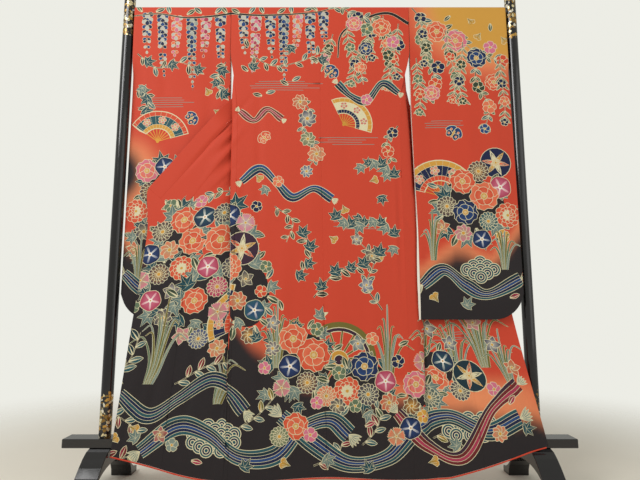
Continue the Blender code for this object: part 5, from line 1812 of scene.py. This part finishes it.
def buildLiningEdge(side):
    shapes, pieces = canvases["liningEdge"], []
    laid = layCloth(plainLattice(liningEdgeRows(side), np.s_[:3, :], wall, sleeveCreases), shapes)
    for title, way in (("lining_edge_", 1), ("lining_edge_inside_", -1)):
        made, faces = makePiece(title + side, laid, way, lining)
        # its upper part is painted red: partly the rolled outer silk, partly painted shade of the slit
        paintPiece(made, faces, laid, "liningBody", shapes)
        dress(made, ["sleeve_lining_" + side] if way > 0 else ())
        pieces.append(made)
    return pieces


edging = {"radius": 0.0022, "flatness": 0.7, "sides": 12, "step": 0.008, "round": 0.012,
          "rolls": ((0.05, 0.9), (0.04, 0.37))}


def tube(name, path, radii, material):
    # A round roll along a path, with cloth coordinates round and along it
    sides, flatness, width = edging["sides"], edging["flatness"], edging["round"]
    way = unit(np.gradient(path, axis=0))
    side = unit(np.cross(way, (0, 0, 1)))
    up = np.cross(side, way)
    angles = np.arange(sides) * 2 * math.pi / sides
    around = side[:, None] * np.cos(angles)[:, None] * flatness + up[:, None] * np.sin(angles)[:, None]
    places = (path[:, None] + around * radii[:, None, None]).reshape(-1, 3)
    run = runAlong(path)
    faces, cloth = [], []
    for i in range(len(path) - 1):
        for k in range(sides):
            n = (k + 1) % sides
            faces.append((i * sides + k, i * sides + n, (i + 1) * sides + n, (i + 1) * sides + k))
            first, last = k / sides * width, (k + 1) / sides * width
            cloth += [(first, run[i]), (last, run[i]), (last, run[i + 1]), (first, run[i + 1])]
    mesh = bpy.data.meshes.new(name)
    mesh.from_pydata([tuple(p) for p in places], [], faces)
    layer = mesh.uv_layers.new(name="cloth")
    layer.uv.foreach_set("vector", np.array(cloth, np.float32).ravel())
    mesh.shade_smooth()
    mesh.materials.append(material)
    return addObject(name, mesh)


def buildEdging():
    line = []
    for name in ("okumi_left", "front_left", "back_left"):
        line += list(lattices[name]["place"][-1][::-1])
    for name in ("back_right", "front_right", "okumi_right"):
        line += list(lattices[name]["place"][-1])
    path = [line[0]]
    for point in line[1:]:
        if np.linalg.norm(point - path[-1]) > edging["step"]:
            path.append(point)
    path = np.array(path) - (0, 0, edging["radius"] + 2 * gap)
    rolls = 1
    for size, pace in edging["rolls"]:
        rolls = rolls + size * np.sin(np.arange(len(path)) * pace)
    made = tube("hem_roll", path, edging["radius"] * rolls, lining)
    dyeCorners(made, np.tile((*dye["red"], 0.0), len(made.data.loops)))
    dress(made, ["hem_edging"])
    return made


hemRoll = buildEdging()
for name, lattice in lattices.items():
    side = name.split("_")[1]
    if name.startswith("sleeve"):
        buildPanel(name, lattice, "sleeve" + side.capitalize(), "liningSleeve", buildLiningEdge(side))
    else:
        buildPanel(name, lattice, "body", "liningBody", [hemRoll] if name == "back_left" else ())
buildCollar()
for name in ("top_rod", "post_left", "post_right", "base_board", "foot_left", "foot_right"):
    node = bpy.data.objects[name]
    node.data.materials.clear()
    node.data.materials.append(chipped if name.startswith("post") else lacquer)
print("pieces dressed")

studio = {
    # power, size and place of each light
    "lights": {"key": (62.0, 1.6, (-1.9, -2.1, 2.7)), "fill": (16.0, 2.4, (2.2, -2.2, 1.4))},
    "aim": (0, 0, 0.9), "ambient": 0.5, "backdrop": 0.9, "floorRadius": 3.2, "floorFade": (0.95, 2.6),
    "floor": ink("efe8da"), "wall": ink("f8f8f0"),
}


def makeLight(name, power, size, place):
    data = bpy.data.lights.new(name, "AREA")
    data.energy, data.size = power, size
    light = addObject(name, data)
    light.location = place
    light.rotation_euler = (Vector(studio["aim"]) - Vector(place)).to_track_quat("-Z", "Y").to_euler()


def makeFloor():
    points = ring(64, studio["floorRadius"])
    mesh = bpy.data.meshes.new("floor")
    mesh.from_pydata([(x, y, 0) for x, y in points], [], [tuple(range(64))])
    made, tree, shader = newMaterial("pale_floor")
    grain = put(tree, "TexNoise", {"Scale": 40.0, "Detail": 4.0})
    tint = put(tree, "ValToRGB", {0: grain.outputs[0]})
    for stop, share in zip(tint.color_ramp.elements, (0.96, 1.0)):
        stop.color = (*(c * share for c in studio["floor"]), 1)
    place = put(tree, "NewGeometry").outputs["Position"]
    away = put(tree, "VectorMath", {0: place}, operation="LENGTH").outputs["Value"]
    start, end = studio["floorFade"]
    limits = {0: away, 1: start, 2: end, 3: 1.0, 4: 0.0}
    fade = put(tree, "MapRange", limits, interpolation_type="SMOOTHSTEP")
    feed(tree, shader, {"Base Color": tint.outputs[0], "Roughness": 0.8, "Alpha": fade.outputs[0]})
    mesh.materials.append(made)
    addObject("floor", mesh)


def makeSky():  # a pale backdrop, softer as a light than it looks
    world = bpy.data.worlds.new("studio")
    world.use_nodes = True
    tree = world.node_tree
    seen = put(tree, "LightPath").outputs["Is Camera Ray"]
    power = put(tree, "Mix", {0: seen, 2: studio["ambient"], 3: studio["backdrop"]}).outputs[0]
    feed(tree, tree.nodes["Background"], {"Color": (*studio["wall"], 1), "Strength": power})
    bpy.context.scene.world = world


makeFloor()
for name, values in studio["lights"].items():
    makeLight(name, *values)
makeSky()
bpy.context.scene.view_settings.view_transform = "Standard"
print("studio lit")
